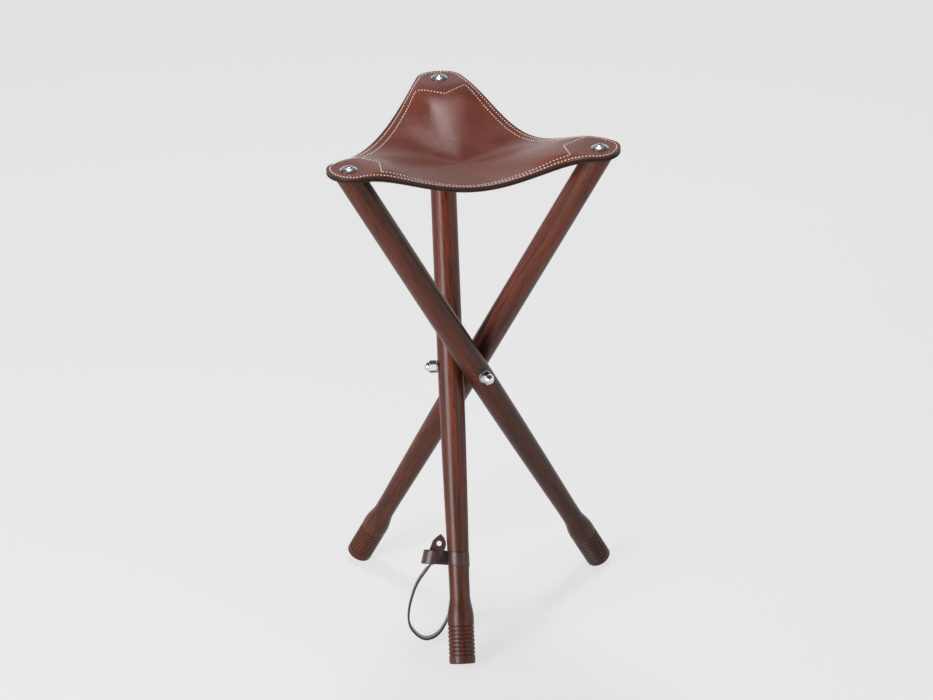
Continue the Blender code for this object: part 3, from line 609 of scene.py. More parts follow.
def tent(reach):
    """Drop of a ridge at a distance from the middle: steep, then level where the leg's top begins."""
    rounded = math.hypot(reach, MIDDLE_ROUND * (1 - min(reach / FLAT_REACH, 1.0)))
    share = min(rounded / FLAT_REACH, 1.0)
    slope = 1 / (1 - TAB_BEND / 2)
    rise = slope * share if share < 1 - TAB_BEND else 1 - slope * (1 - share) ** 2 / (2 * TAB_BEND)
    return CENTRE_SAG * (1 - rise ** RIDGE_EASE)


def drop(u, s):
    """Drop of the seat's upper side below its tabs."""
    edge, side = outline(u)
    facing = edge.normalized().dot(polar(1.0, tab_angle(round(u))))
    valley = (1 - math.cos(3 * math.acos(min(facing, 1.0)))) / 2
    reach = edge.length * (1 - VALLEY_DEPTH * valley)
    sag = SIDE_SAGS[math.floor(u) % 3] * side ** SIDE_EASE
    near_edge = s ** (EDGE_EASE + FLANK_EASE * (1 - side))
    return tent(s * reach) + (sag - tent(reach)) * near_edge


def on_sling(u, s, depth=0.0):
    """A point of the seat, or of a layer under it."""
    edge = outline(u)[0]
    return Vector((hub_spot.x + edge.x * s, hub_spot.y + edge.y * s, SEAT_TOP - drop(u, s) - depth))


print("seat top", round(SEAT_TOP, 4), "middle", round(SEAT_TOP - CENTRE_SAG, 4))

# %% [markdown]
# ## Leather finishes
# Smooth saddle leather has a very fine grain, a soft shine and a stain that is never quite even. Its cut
# edges are dark. Each leather piece keeps its distance from the cut edge in an attribute, so the finish can
# darken the edge and press the sewing line in.

# %% Leather finish
OUTER_SEAM = 0.0045
EDGE_DARK, EDGE_CLEAR, SEAM_HALF = 0.0006, 0.0022, 0.0016
CLOUD_SCALE, FLECK_SCALE, GRAIN_SCALE = 26.0, 520.0, 1150.0


def leather(name, colour, edge_colour, roughness, shine=0.24, sewn_at=None):
    """Fine-grained leather, darker at its cut edge."""
    finish = Finish(name, roughness)
    finish.shader.inputs["Specular IOR Level"].default_value = shine
    spot = finish.place()
    cloud = finish.noise(spot, CLOUD_SCALE, 3.0)
    fleck = finish.noise(spot, FLECK_SCALE, 2.0)
    stain = finish.ramp(cloud, [
        (0.25, tuple(0.80 * c for c in colour)), (0.55, colour), (0.80, tuple(1.18 * c for c in colour)),
    ])
    stain = finish.mixed(finish.between(fleck, 0.45, 0.80, 0.0, 0.12), stain, (*edge_colour, 1.0))
    edge = finish.node("ShaderNodeAttribute", attribute_name="edge_distance").outputs["Fac"]
    dark = finish.between(edge, EDGE_DARK, EDGE_CLEAR, 1.0, 0.0)
    finish.paint(
        finish.mixed(dark, stain, (*edge_colour, 1.0)),
        finish.between(cloud, 0.3, 0.7, roughness - 0.03, roughness + 0.04),
    )
    cells = finish.node(
        "ShaderNodeTexVoronoi", {"Vector": spot, "Scale": GRAIN_SCALE}, feature="DISTANCE_TO_EDGE",
    ).outputs["Distance"]
    grain = finish.combine("MULTIPLY", finish.between(cells, 0.0, 0.16), 0.5)
    height = finish.combine("ADD", grain, finish.combine("MULTIPLY", fleck, 0.5))
    if sewn_at:
        off_line = finish.combine("ABSOLUTE", finish.combine("SUBTRACT", edge, sewn_at), 0.0)
        press = finish.between(off_line, 0.0, SEAM_HALF, -2.2, 0.0)
        height = finish.combine("ADD", height, press)
    finish.bump(height, 0.14, 0.0003)
    return finish.material


saddle = leather("saddle_leather", srgb(118, 60, 48), srgb(58, 34, 29), 0.28, sewn_at=OUTER_SEAM)
lining = leather("lining_leather", srgb(86, 48, 38), srgb(54, 32, 27), 0.60)
strap = leather("strap_leather", srgb(66, 38, 32), srgb(46, 29, 26), 0.30, shine=0.55)
print("leathers", saddle.name, lining.name, strap.name)

# %% [markdown]
# ## Sheets of leather
# A sheet starts as a flat grid. Each of its points is moved to its place, the whole is doubled below at the
# leather's thickness, and the rims are bridged, so the sheet is a closed body. A small bevel takes the
# sharpness off the cut edge. Solidify would thicken it too, but here the cut edge can be told from a join.

# %% Sheets from grids

def sheet(columns, rows, place, thickness, soften):
    """A closed sheet of leather. place(across, out) gives a point and its distance from the cut edge."""
    shape = bmesh.new()
    bmesh.ops.create_grid(shape, x_segments=columns, y_segments=rows, size=0.5)
    rim_flag = shape.verts.layers.int.new("rim")
    side_flag = shape.verts.layers.int.new("side")
    distance = shape.verts.layers.float.new("edge_distance")
    for vert in shape.verts:
        across = round((vert.co.x + 0.5) * columns) / columns
        out = round((vert.co.y + 0.5) * rows) / rows
        vert.co, vert[distance] = place(across, out)
        vert[rim_flag] = vert[distance] < 1e-6
    bmesh.ops.remove_doubles(shape, verts=shape.verts, dist=1e-6)
    shape.normal_update()
    upper = shape.verts[:]
    copy = bmesh.ops.duplicate(shape, geom=upper + shape.edges[:] + shape.faces[:])
    under_faces = [item for item in copy["geom"] if isinstance(item, bmesh.types.BMFace)]
    for vert in upper:
        under = copy["vert_map"][vert]
        under.co = vert.co - vert.normal * thickness
        under[side_flag] = 1
    bmesh.ops.reverse_faces(shape, faces=under_faces)
    open_edges = [edge for edge in shape.edges if edge.is_boundary]
    bmesh.ops.bridge_loops(shape, edges=open_edges)
    corners = []
    for edge in shape.edges:
        first, second = edge.verts
        if first[rim_flag] and second[rim_flag] and first[side_flag] == second[side_flag]:
            corners.append(edge)
    if soften:
        bmesh.ops.bevel(
            shape, geom=corners, offset=soften, segments=2, profile=0.5, affect="EDGES", material=-1,
        )
    bmesh.ops.recalc_face_normals(shape, faces=shape.faces)
    return shape


trial = sheet(2, 2, lambda across, out: (Vector((across, out, 0)), 0.1), 0.1, 0.0)
print("a trial sheet has", len(trial.faces), "faces")
trial.free()

# %% [markdown]
# ## Cutting the seat
# When the stool folds, each tab goes with its own leg. A sheet can bend between two bodies of the model
# only, so the seat is cut into three kites that meet from the middle to the middle of each side, where
# nothing moves. Columns crowd towards those joins, so the light runs over them without a line.

# %% Seat kites
INSETS = (0.016, 0.0125, 0.0095, 0.0070, 0.0052, 0.0038, 0.0026, 0.0016, 0.0008, 0.0)
INNER_ROWS, KITE_COLUMNS = 24, 132
SCREW_HOLE, HOLE_TOP, HOLE_BOTTOM = 0.0028, 0.7, 0.5
SEAT_SOFTENED, COLUMN_CROWD = 0.0006, 0.94


def crowd(share):
    """Columns that crowd towards both ends."""
    return share - COLUMN_CROWD * math.sin(math.tau * share) / math.tau


def kite_place(corner):
    """Where the seat's kite round one tab lies."""
    def place(across, out):
        u = corner + 0.5 - crowd(across)
        reach = edge_reach(u)
        row = round(out * (INNER_ROWS + len(INSETS) - 1))
        if row < INNER_ROWS:
            s = (1 - INSETS[0] / reach) * row / INNER_ROWS
        else:
            s = 1 - INSETS[row - INNER_ROWS] / reach
        return on_sling(u, s), (1 - s) * reach
    return place


def bend_with(piece):
    """Bake a leather piece's transform into its mesh."""
    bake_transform(piece)


seat_kites = []
for corner, letter in enumerate(LETTERS):
    rows = INNER_ROWS + len(INSETS) - 1
    shape = sheet(KITE_COLUMNS, rows, kite_place(corner), SEAT_THICK, SEAT_SOFTENED)
    hole = spun([(0, HOLE_TOP), (SCREW_HOLE, HOLE_TOP), (SCREW_HOLE, HOLE_BOTTOM), (0, HOLE_BOTTOM)], 24)
    screw_spot = polar(SCREW_CIRCLE, tab_angle(corner))
    hole.transform(Matrix.Translation((hub_spot.x + screw_spot.x, hub_spot.y + screw_spot.y, 0)))
    shape = carved(shape, [("DIFFERENCE", hole)])
    kite = finished("seat_kite_" + letter, shape, saddle, None, ["seat_leather"], 50)
    bend_with(kite)
    seat_kites.append(kite)
print("kites", [len(kite.data.polygons) for kite in seat_kites])

# %% [markdown]
# ## The layers under the seat
# A pointed patch is sewn under each tab, and a strip under each free side, so the seat's edge shows two
# thicknesses of leather. They follow the same sling a little lower. A strip crosses from one kite to the
# next, so it is made in two halves.

# %% Patches and strips
BAND_WIDTH, PATCH_REACH = 0.0175, 0.047
BUTT, LAYER_SOFTENED = 0.001, 0.0004
LAYER_COLUMNS, LAYER_ROWS = 48, 10


def patch_start(u, corner):
    """s on the pointed inner end of a patch."""
    nose = polar(SCREW_CIRCLE - PATCH_REACH, tab_angle(corner))
    side = corner + math.copysign(PATCH_SHARE, u - corner)
    flank = outline(side)[0] * (1 - BAND_WIDTH / edge_reach(side))
    ray, run = outline(u)[0], flank - nose
    return (nose.x * run.y - nose.y * run.x) / (ray.x * run.y - ray.y * run.x)


def layer_place(u_from, u_to, start_of):
    """Rows of a layer from its inner end to the seat's edge."""
    def place(across, out):
        u = u_from + (u_to - u_from) * across
        reach = edge_reach(u)
        start = start_of(u)
        s = start + (1 - start) * out
        return on_sling(u, s, SEAT_THICK + SEWN_GAP), (1 - s) * reach
    return place


def band_start(u):
    """s on the inner side of a strip."""
    return 1 - BAND_WIDTH / edge_reach(u)


layer_count = 0
for corner, letter in enumerate(LETTERS):
    after, before = LETTERS[(corner + 1) % 3], LETTERS[(corner + 2) % 3]
    after_band, before_band = f"edge_band_{letter}{after}", f"edge_band_{before}{letter}"
    nose = partial(patch_start, corner=corner)
    spans = [
        ("patch_", corner + PATCH_SHARE, corner - PATCH_SHARE, nose, "corner_patch_" + letter),
        ("strip_after_", corner + 0.5, corner + PATCH_SHARE + BUTT, band_start, after_band),
        ("strip_before_", corner - PATCH_SHARE - BUTT, corner - 0.5, band_start, before_band),
    ]
    for title, u_from, u_to, start_of, node in spans:
        place = layer_place(u_from, u_to, start_of)
        shape = sheet(LAYER_COLUMNS, LAYER_ROWS, place, LAYER_THICK, LAYER_SOFTENED)
        piece = finished(title + letter, shape, lining, None, [node], 50)
        bend_with(piece)
        layer_count += 1
print("layers", layer_count)

# %% [markdown]
# ## Seam lines
# Pale thread runs round the whole edge, along the inner side of each strip, and in a zigzag across each
# patch. The lines are drawn in plan and then raised onto the sling: a plan point's u is the one whose ray
# from the middle passes through it.

# %% Seam lines
INNER_SEAM = 0.0115
SEAM_FLANK, SEAM_NOSE = 0.026, 0.044
SEAM_STEPS, SEARCH_FROM, SEARCH_STEP = 160, 0.12, 0.002


def u_towards(point):
    """The u whose ray from the middle passes through a plan point, by halving."""
    angle = math.atan2(point.y, point.x)
    nearest = min(range(3), key=lambda k: abs(math.remainder(angle - tab_angle(k), math.tau)))
    low, high = nearest - 0.5, nearest + 0.5
    for _ in range(40):
        middle = (low + high) / 2
        here = outline(middle)[0]
        if math.remainder(math.atan2(here.y, here.x) - angle, math.tau) < 0:
            low = middle
        else:
            high = middle
    return (low + high) / 2


def lift_plan(point, depth):
    """A plan point raised onto the sling."""
    u = u_towards(point)
    return on_sling(u, point.length / outline(u)[0].length, depth)


def spaced(points, pitch):
    """(point, direction) every pitch along a line of points."""
    marks, walked, wanted = [], 0.0, pitch / 2
    for here, there in zip(points, points[1:]):
        step = (there - here).length
        while step > 0 and walked + step >= wanted:
            marks.append((here.lerp(there, (wanted - walked) / step), (there - here).normalized()))
            wanted += pitch
        walked += step
    return marks


def inset_line(u_from, u_to, inset):
    """Plan points along the edge at a distance in from it."""
    stations = [u_from + (u_to - u_from) * i / SEAM_STEPS for i in range(SEAM_STEPS + 1)]
    return [outline(u)[0] * (1 - inset / edge_reach(u)) for u in stations]


def seam_end(corner, side):
    """u where the inner seam reaches a patch."""
    out = polar(1.0, tab_angle(corner))
    wanted = SCREW_CIRCLE - SEAM_FLANK

    def miss(u):
        return abs((outline(u)[0] * (1 - INNER_SEAM / edge_reach(u))).dot(out) - wanted)

    return min([corner + side * (SEARCH_FROM + SEARCH_STEP * i) for i in range(120)], key=miss)


def zigzag(corner):
    """Plan points of the seam across a patch: flank, nose, flank."""
    ends = []
    for side in (-1, 1):
        u = seam_end(corner, side)
        ends.append(outline(u)[0] * (1 - INNER_SEAM / edge_reach(u)))
    nose = polar(SCREW_CIRCLE - SEAM_NOSE, tab_angle(corner))
    return [ends[0], nose, ends[1]]


print("inner seams end at u", [round(seam_end(corner, 1) - corner, 3) for corner in range(3)])

# %% [markdown]
# ## Sewing
# Each stitch is a small drawn-out ball laid on the leather along its line, above and below. A ball of
# twenty faces is enough at this size, and hundreds of them stay light.

# %% Stitches
STITCH_PITCH, STITCH_LENGTH, STITCH_WIDTH = 0.0040, 0.0028, 0.0016
STITCH_STEP, STITCH_LIFT, STITCH_FLATTEN, BALL_FACES = 0.0005, 0.00008, 2.4, 20
thread_finish = Finish("pale_thread", 0.75)
thread_twist = thread_finish.noise(thread_finish.place(), 900.0, 2.0)
thread_tones = [(0.3, srgb(244, 222, 202)), (0.7, srgb(255, 244, 230))]
thread_finish.paint(thread_finish.ramp(thread_twist, thread_tones))
thread = thread_finish.material


def sew(corner):
    """All stitches on one kite, above and below."""
    seams = [
        inset_line(corner - 0.5, corner + 0.5, OUTER_SEAM),
        inset_line(corner - 0.5, seam_end(corner, -1), INNER_SEAM),
        inset_line(seam_end(corner, 1), corner + 0.5, INNER_SEAM),
        zigzag(corner),
    ]
    size = Matrix.Diagonal((STITCH_LENGTH / 2, STITCH_WIDTH / 2, STITCH_WIDTH / STITCH_FLATTEN, 1))
    shape = bmesh.new()
    for seam in seams:
        plan = [Vector((point.x, point.y, 0)) for point in seam]
        for spot, way in spaced(plan, STITCH_PITCH):
            ends = [(spot + way * half).to_2d() for half in (-STITCH_STEP, STITCH_STEP)]
            beside = Vector((-way.y, way.x, 0)) * STITCH_STEP
            for depth, up in ((0.0, 1), (SEAT_THICK + SEWN_GAP + LAYER_THICK, -1)):
                along = (lift_plan(ends[1], depth) - lift_plan(ends[0], depth)).normalized()
                middle = lift_plan(spot.to_2d(), depth)
                side = (lift_plan((spot + beside).to_2d(), depth) - middle).normalized()
                normal = along.cross(side) * up
                turn = Matrix((along, normal.cross(along), normal)).transposed().to_4x4()
                place = Matrix.Translation(middle + normal * STITCH_LIFT) @ turn @ size
                bmesh.ops.create_icosphere(shape, subdivisions=1, radius=1.0, matrix=place)
    bmesh.ops.recalc_face_normals(shape, faces=shape.faces)
    return shape


for corner, letter in enumerate(LETTERS):
    stitches = finished("stitches_" + letter, sew(corner), thread, None, (), 80)
    bend_with(stitches)
    print("stitches", letter, len(stitches.data.polygons) // BALL_FACES)

# %% [markdown]
# ## Screws and cup washers
# A raised washer with a cone in it takes the head of a wood screw on each tab. The screw's head is domed
# and has a cross cut in it for the driver.

# %% Tab hardware
CUP_HEIGHT, HEAD_RADIUS, HEAD_RISE = 0.0027, 0.0052, 0.0016
CROSS_LONG, CROSS_WIDE, CROSS_DEEP = 0.0052, 0.0010, 0.0024
CROSS_AT = CUP_HEIGHT + 0.0015
SHANK_RADIUS, SHANK_TOP, SHANK_END, SCREW_POINT = 0.0024, 0.0016, -0.0203, -0.0263
SCREW_TURN, SCREW_TURN_STEP = 0.35, 0.6


def cup_washer():
    """Raised washer along Z, seat at z = 0."""
    throat, rim = SCREW_HOLE, 0.0102
    return spun([
        (throat, 0.0010), (HEAD_RADIUS + 0.0004, CUP_HEIGHT), (HEAD_RADIUS + 0.0007, CUP_HEIGHT + 0.0001),
        (0.0066, CUP_HEIGHT - 0.0001), (0.0078, 0.0021), (0.0089, 0.0014), (0.0098, 0.0008), (rim, 0.0005),
        (rim, 0.0), (throat, 0.0),
    ], 56, closed=True)


def cross_head_screw(turn):
    """Domed screw along Z with a cross in its head."""
    dome = dome_profile(HEAD_RADIUS, HEAD_RISE, CUP_HEIGHT, 8)
    dome += [(SHANK_RADIUS, SHANK_TOP), (SHANK_RADIUS, SHANK_END), (0, SCREW_POINT)]
    tools = []
    for angle in (turn, turn + math.pi / 2):
        slot = bmesh.new()
        cross_size = Matrix.Diagonal((CROSS_LONG, CROSS_WIDE, CROSS_DEEP, 1))
        bmesh.ops.create_cube(slot, size=1.0, matrix=cross_size)
        slot.transform(Matrix.Translation((0, 0, CROSS_AT)) @ Matrix.Rotation(angle, 4, "Z"))
        tools.append(("DIFFERENCE", slot))
    return carved(spun(dome, 40), tools)


for corner, letter in enumerate(LETTERS):
    spot = polar(SCREW_CIRCLE, tab_angle(corner))
    on_tab = Matrix.Translation((hub_spot.x + spot.x, hub_spot.y + spot.y, SEAT_TOP + CONTACT))
    body = "leg_" + letter
    cup, screw = cup_washer(), cross_head_screw(SCREW_TURN + SCREW_TURN_STEP * corner)
    cup.transform(on_tab)
    screw.transform(on_tab)
    finished("cup_" + letter, cup, nickel, body, ["cup_washer_" + letter], 30)
    finished("cross_screw_" + letter, screw, nickel, body, ["seat_screw_" + letter], 30)
print("tab hardware seated at", round(SEAT_TOP, 4))

# %% [markdown]
# ## The closing strap
# A strap on one leg can hold the folded legs together. It has two pieces, a band and a tongue, and both are
# ribbons: a sheet whose grid is moved along a smooth route, with its width turned where the leather twists.
# The route passes through a short list of points.

# %% Ribbon helper
STRAP_WIDTH, STRAP_THICK, STRAP_DROP = 0.017, 0.0022, 0.231
STRAP_SOFTENED = 0.0004


def smooth_route(points, steps):
    """Points along a smooth curve through the given ones."""
    ends = [2 * points[0] - points[1], *points, 2 * points[-1] - points[-2]]
    route = []
    for a, b, c, d in zip(ends, ends[1:], ends[2:], ends[3:]):
        for i in range(steps):
            t = i / steps
            square, cube = 2 * a - 5 * b + 4 * c - d, 3 * b - a - 3 * c + d
            route.append(0.5 * (2 * b + (c - a) * t + square * t ** 2 + cube * t ** 3))
    return route + [points[-1]]


def ribbon(route, ways, widths, columns=6):
    """A closed flat strip along a route, its middle on the route."""
    rows = len(route) - 1

    def place(across, out):
        i = round(out * rows)
        run = (route[min(i + 1, rows)] - route[max(i - 1, 0)]).normalized()
        wide = (ways[i] - run * ways[i].dot(run)).normalized()
        off = (across - 0.5) * widths[i]
        edge = min(across, 1 - across) * widths[i]
        ends = min(i, rows - i)
        return route[i] + wide * off + run.cross(wide) * STRAP_THICK / 2, 0.0 if ends == 0 else edge

    return sheet(columns, rows, place, STRAP_THICK, STRAP_SOFTENED)


trial_route = smooth_route([Vector((0, 0, 0)), Vector((1, 0, 0)), Vector((1, 1, 0))], 4)
print("a smooth route of 3 points has", len(trial_route))

# %% [markdown]
# ## The strap's band
# The band starts at the leg's left as a hook that is open in front, the keeper of the tongue's tip. From
# there it runs along behind to the leg and goes round it. It slants a little, and the keeper leans towards
# the leg.

# %% Strap band
BAND_FIT, KEEPER_GAP, BAND_STEPS = 0.0004, 0.0008, 4
HOOK_STEPS, BACK_STEPS, WRAP_STEPS = 11, 7, 20
band_radius = taper(-STRAP_DROP + STRAP_WIDTH / 2) + BAND_FIT + STRAP_THICK / 2
KEEPER_LONG, KEEPER_DEEP = STRAP_WIDTH / 2 + 0.0058, STRAP_WIDTH / 2 + 0.0040
keeper_middle = band_radius + KEEPER_GAP + KEEPER_LONG
BAND_SLANT, KEEPER_LEAN = 0.11, 0.26
HOOK_END, BAND_END = math.radians(100), math.radians(-49)
strap_frame = leg_frame(2)


def band_height(reach):
    """Height of the band's middle on the leg, by distance towards the keeper."""
    return BAND_SLANT * reach - STRAP_DROP


def band_route():
    """Middle line of the band: round the hook, along behind it, then round the leg."""
    plan = []
    for i in range(HOOK_STEPS + 1):
        angle = HOOK_END - (HOOK_END + math.pi / 2) * i / HOOK_STEPS
        plan.append(Vector((keeper_middle + KEEPER_LONG * math.cos(angle), KEEPER_DEEP * math.sin(angle))))
    rear, leg_rear = plan[-1], Vector((0, -band_radius))
    plan += [rear.lerp(leg_rear, i / BACK_STEPS) for i in range(1, BACK_STEPS)]
    wrap = math.tau - (BAND_END + math.pi / 2)
    angles = [-math.pi / 2 - wrap * i / WRAP_STEPS for i in range(WRAP_STEPS + 1)]
    plan += [polar(band_radius, angle) for angle in angles]
    return [strap_frame @ Vector((*point, band_height(point.x))) for point in plan]


route = smooth_route(band_route(), BAND_STEPS)
up_leg = strap_frame.to_3x3() @ Vector((0, 0, 1))
towards_leg = -arm_ways[2].normalized()
band_ways = []
for point in route:
    reach = (strap_frame.inverted() @ point).x
    share = (reach - band_radius) / (keeper_middle - band_radius)
    band_ways.append((up_leg + towards_leg * KEEPER_LEAN * ease(min(max(share, 0.0), 1.0))).normalized())
band_shape = ribbon(route, band_ways, [STRAP_WIDTH] * len(route))
finished("keeper_band", band_shape, strap, "leg_c", ["strap_band"], 50)
print("band length", round(sum((b - a).length for a, b in zip(route, route[1:])), 4))

# %% [markdown]
# ## The strap's tongue
# The tongue's pointed tip stands in the keeper. The rest hangs in a loop and comes up behind the leg to the
# band. The points of its route are listed below. The tip's points say how far up the leg and how far
# towards it they lie from the keeper, and the loop's how far to the right, to the front and up.

# %% Tongue route
TIP_ROUTE = ((0.0268, 0.0098), (0.0200, 0.0084), (0.0135, 0.0064), (0.0070, 0.0036), (0.0, -0.0010))
TONGUE_ROUTE = (
    (-0.0060, 0.0037, -0.0065), (-0.0115, 0.0060, -0.0122), (-0.0205, 0.0080, -0.0247),
    (-0.0264, 0.0090, -0.0370), (-0.0311, 0.0095, -0.0523), (-0.0337, 0.0095, -0.0651),
    (-0.0345, 0.0090, -0.0782), (-0.0325, 0.0080, -0.0898), (-0.0270, 0.0070, -0.1002),
    (-0.0194, 0.0055, -0.1084), (-0.0112, 0.0035, -0.1123), (-0.0017, 0.0000, -0.1119),
    (0.0064, -0.0040, -0.1076), (0.0118, -0.0080, -0.1018), (0.0162, -0.0110, -0.0945),
    (0.0205, -0.0110, -0.0830), (0.0243, -0.0090, -0.0690), (0.0270, -0.0062, -0.0530),
    (0.0288, -0.0032, -0.0370),
)
TONGUE_STEPS, TONGUE_GAP = 8, 0.0006
keeper = strap_frame @ Vector((keeper_middle, 0, band_height(keeper_middle)))
points = [keeper + up_leg * rise + towards_leg * lean for rise, lean in TIP_ROUTE]
points += [keeper + Vector((right, -front, rise)) for right, front, rise in TONGUE_ROUTE]
behind_band = band_radius + STRAP_THICK + TONGUE_GAP
for height in (-STRAP_WIDTH / 2, STRAP_WIDTH / 2):
    points.append(strap_frame @ Vector((0, -behind_band, -STRAP_DROP + height)))
tongue_route = smooth_route(points, TONGUE_STEPS)

# %% [markdown]
# ## Twisting and punching the tongue
# The tongue is flat to the front at its tip, turns edge-on in the loop and turns back behind the leg. Its
# width narrows to the tip by a sine, and a round punch makes the hole.

# %% Strap tongue
LOOP_WAY = Vector((0.0, 0.94, -0.34))
TIP_LENGTH, TIP_BLUNT, TIP_ROUND = 0.013, 0.10, 0.8
HOLE_RADIUS, HOLE_AT, PUNCH_REACH = 0.0031, 1.6, 0.02
TWIST_FROM, TWIST_RUN = 2.6, 3.4
TURN_BACK_FROM, TURN_BACK_RUN = len(points) - 6, 4.0


def twist(i):
    """How far the tongue has turned from flat (0) to edge-on (1) at a row."""
    at = i / TONGUE_STEPS
    turn_in = ease(min(max((at - TWIST_FROM) / TWIST_RUN, 0), 1))
    turn_out = ease(min(max((at - TURN_BACK_FROM) / TURN_BACK_RUN, 0), 1))
    return turn_in - turn_out


ways, widths = [], []
walked = 0.0
for i, point in enumerate(tongue_route):
    walked += (point - tongue_route[max(i - 1, 0)]).length
    ways.append(Vector((1, 0, 0)) * (1 - twist(i)) + LOOP_WAY * twist(i))
    tip_share = min(walked / TIP_LENGTH, 1.0)
    widths.append(STRAP_WIDTH * max(TIP_BLUNT, math.sin(math.pi / 2 * tip_share) ** TIP_ROUND))
tongue_shape = ribbon(tongue_route, ways, widths)
punch = spun([
    (0, PUNCH_REACH), (HOLE_RADIUS, PUNCH_REACH), (HOLE_RADIUS, -PUNCH_REACH), (0, -PUNCH_REACH),
], 32)
hole_spot = Matrix.Translation(tongue_route[round(HOLE_AT * TONGUE_STEPS)])
punch.transform(hole_spot @ strap_frame.to_3x3().to_4x4() @ Matrix.Rotation(math.pi / 2, 4, "X"))
tongue_shape = carved(tongue_shape, [("DIFFERENCE", punch)])
tongue = finished("closing_tongue", tongue_shape, strap, "leg_c", ["strap_tongue"], 50)
print("tongue faces", len(tongue.data.polygons))

# %% [markdown]
# ## What the sheets were cut from
# Leather hardly stretches, so each kite, patch and strip was cut to the area that it still has. Half of a
# closed sheet's surface is that area. Made larger where the piece would fill more than nine tenths of it.

# %% [markdown]
# ## Floor
# The photograph has an even pale grey ground. The floor is a plain matt grey that mostly glows at that
# value for the camera, seen straight or by a mirror, with the stool's soft shadow left in. For light that
# bounces it doesn't glow.

# %% Floor
GROUND, GROUND_GLOW, GLOW_SHARE = srgb(230, 230, 230), 0.842, 0.80
FLOOR_SIZE, FLOOR_AT = 20.0, -0.0004


def seen_rays(tree):
    """1 for rays from the camera, also by a mirror or through glass, and 0 for light that bounces."""
    rays = add_node(tree, "ShaderNodeLightPath").outputs
    inputs = {0: rays["Is Camera Ray"], 1: rays["Is Glossy Ray"]}
    direct = add_node(tree, "ShaderNodeMath", inputs, operation="MAXIMUM").outputs[0]
    inputs = {0: direct, 1: rays["Is Transmission Ray"]}
    return add_node(tree, "ShaderNodeMath", inputs, operation="MAXIMUM").outputs[0]


ground = bmesh.new()
bmesh.ops.create_grid(ground, x_segments=1, y_segments=1, size=FLOOR_SIZE)
ground_mesh = bpy.data.meshes.new("floor")
ground.to_mesh(ground_mesh)
ground.free()
floor = bpy.data.objects.new("floor", ground_mesh)
bpy.context.scene.collection.objects.link(floor)
floor.location.z = FLOOR_AT
floor_finish = Finish("pale_floor", 0.9)
floor_finish.shader.inputs["Base Color"].default_value = (*GROUND, 1.0)
glow_colour = (GROUND_GLOW, GROUND_GLOW, GROUND_GLOW, 1.0)
glow = floor_finish.node("ShaderNodeEmission", {"Color": glow_colour, "Strength": 1.0}).outputs[0]
amount = floor_finish.combine("MULTIPLY", seen_rays(floor_finish.tree), GLOW_SHARE)
mix = floor_finish.node("ShaderNodeMixShader", {0: amount, 1: floor_finish.shader.outputs[0], 2: glow})
output = next(node for node in floor_finish.tree.nodes if node.type == "OUTPUT_MATERIAL")
floor_finish.tree.links.new(mix.outputs[0], output.inputs["Surface"])
ground_mesh.materials.append(floor_finish.material)
print("floor at", round(floor.location.z, 4))

# %% [markdown]
# ## Studio air
# The world gives soft light from all sides. What is mirrored sees a pale horizon that darkens upwards, so
# that metal, varnish and leather get calm reflections. Texture coordinates of the world are directions, and
# their Z tells how high a ray looks.

# %% World
SOFT_LIGHT = 0.22
HORIZON_TOP, ZENITH_FROM, HORIZON_LIGHT, ZENITH_LIGHT = 0.34, 0.58, 1.0, 0.10
world = bpy.data.worlds.new("studio")
world.use_nodes = True
bpy.context.scene.world = world
air = world.node_tree
way = add_node(air, "ShaderNodeTexCoord").outputs["Generated"]
height = add_node(air, "ShaderNodeSeparateXYZ", {"Vector": way}).outputs["Z"]
sweep = add_node(air, "ShaderNodeMapRange", {
    "Value": height, "From Min": HORIZON_TOP, "From Max": ZENITH_FROM,
    "To Min": HORIZON_LIGHT, "To Max": ZENITH_LIGHT,
}).outputs["Result"]
inputs = {"Value": seen_rays(air), "To Min": SOFT_LIGHT, "To Max": sweep}
strength = add_node(air, "ShaderNodeMapRange", inputs).outputs["Result"]
air.nodes["Background"].inputs["Color"].default_value = (1.0, 1.0, 1.0, 1.0)
air.links.new(strength, air.nodes["Background"].inputs["Strength"])
print("world nodes", len(air.nodes))

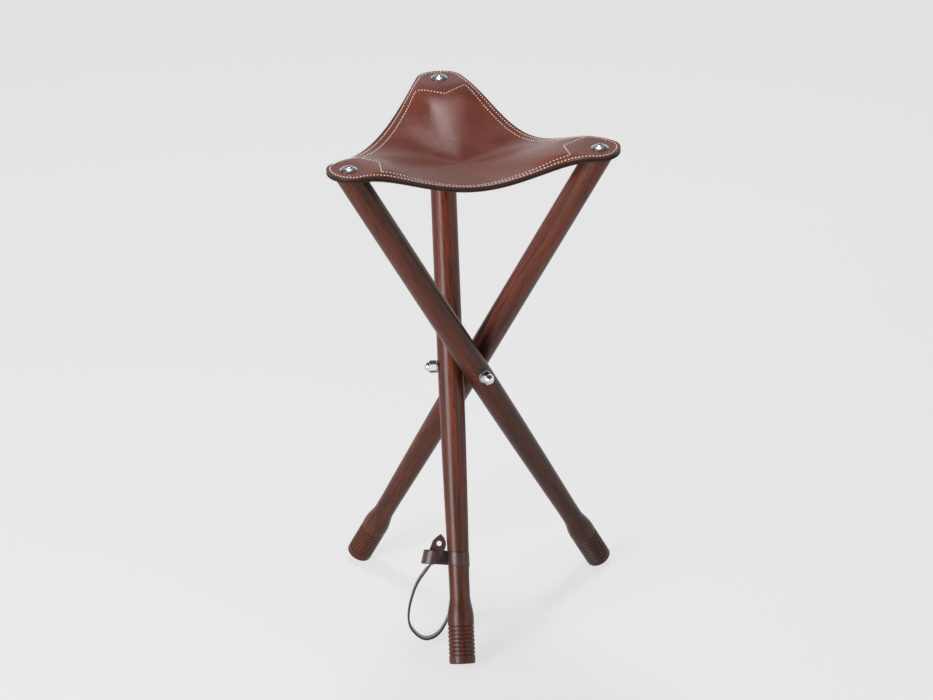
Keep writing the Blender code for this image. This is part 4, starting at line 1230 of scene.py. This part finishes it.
# %% [markdown]
# ## Lamps
# A large lamp at the left in front draws the long streaks on the varnish. A small one above and behind
# draws the highlight down the seat's back ridge, and a weak one fills in from the right.

# %% Lamps

def softbox(name, place, target, width, height, power):
    """An area lamp that faces a target."""
    lamp = bpy.data.lights.new(name, "AREA")
    lamp.shape = "RECTANGLE"
    lamp.size = width
    lamp.size_y = height
    lamp.energy = power
    item = bpy.data.objects.new(name, lamp)
    item.location = place
    item.rotation_euler = (Vector(target) - Vector(place)).to_track_quat("-Z", "Y").to_euler()
    bpy.context.scene.collection.objects.link(item)


softbox("key", (-1.75, -1.62, 1.15), (0, 0, 0.35), 1.2, 1.6, 56)
softbox("sky", (-0.06, 0.90, 3.0), (0, 0, 0.5), 0.25, 0.6, 30)
softbox("fill", (2.4, -1.2, 1.6), (0, 0, 0.35), 1.6, 1.6, 7)

# %% [markdown]
# ## Camera
# The camera stands where the photograph was taken from. Its place, its direction, its roll and its focal
# length were found by matching marks on the stool to their spots in the photograph.

# %% Camera
CAMERA_OFFSET = Vector((-0.12838, -3.79023, 1.90047))
CAMERA_WAY, CAMERA_ROLL = Vector((0.02999, 0.89544, -0.44418)), -1.380
SENSOR_WIDTH, FOCAL_LENGTH = 36.0, 136.53
lens = bpy.data.cameras.new("photo_camera")
lens.sensor_width = SENSOR_WIDTH
lens.lens = FOCAL_LENGTH
lens.clip_end = 100
camera = bpy.data.objects.new("photo_camera", lens)
bpy.context.scene.collection.objects.link(camera)
forward = CAMERA_WAY.normalized()
level_right = forward.cross(Vector((0, 0, 1))).normalized()
level_up = level_right.cross(forward)
roll = math.radians(CAMERA_ROLL)
right = level_right * math.cos(roll) + level_up * math.sin(roll)
up = level_up * math.cos(roll) - level_right * math.sin(roll)
turn = Matrix((right, up, -forward)).transposed().to_4x4()
camera.matrix_world = Matrix.Translation(hub_spot + CAMERA_OFFSET) @ turn
bpy.context.scene.camera = camera
print("camera", tuple(round(v, 3) for v in camera.matrix_world.translation))

# %% [markdown]
# ## Size
# The dressed stool has to stay the size of the packed model.
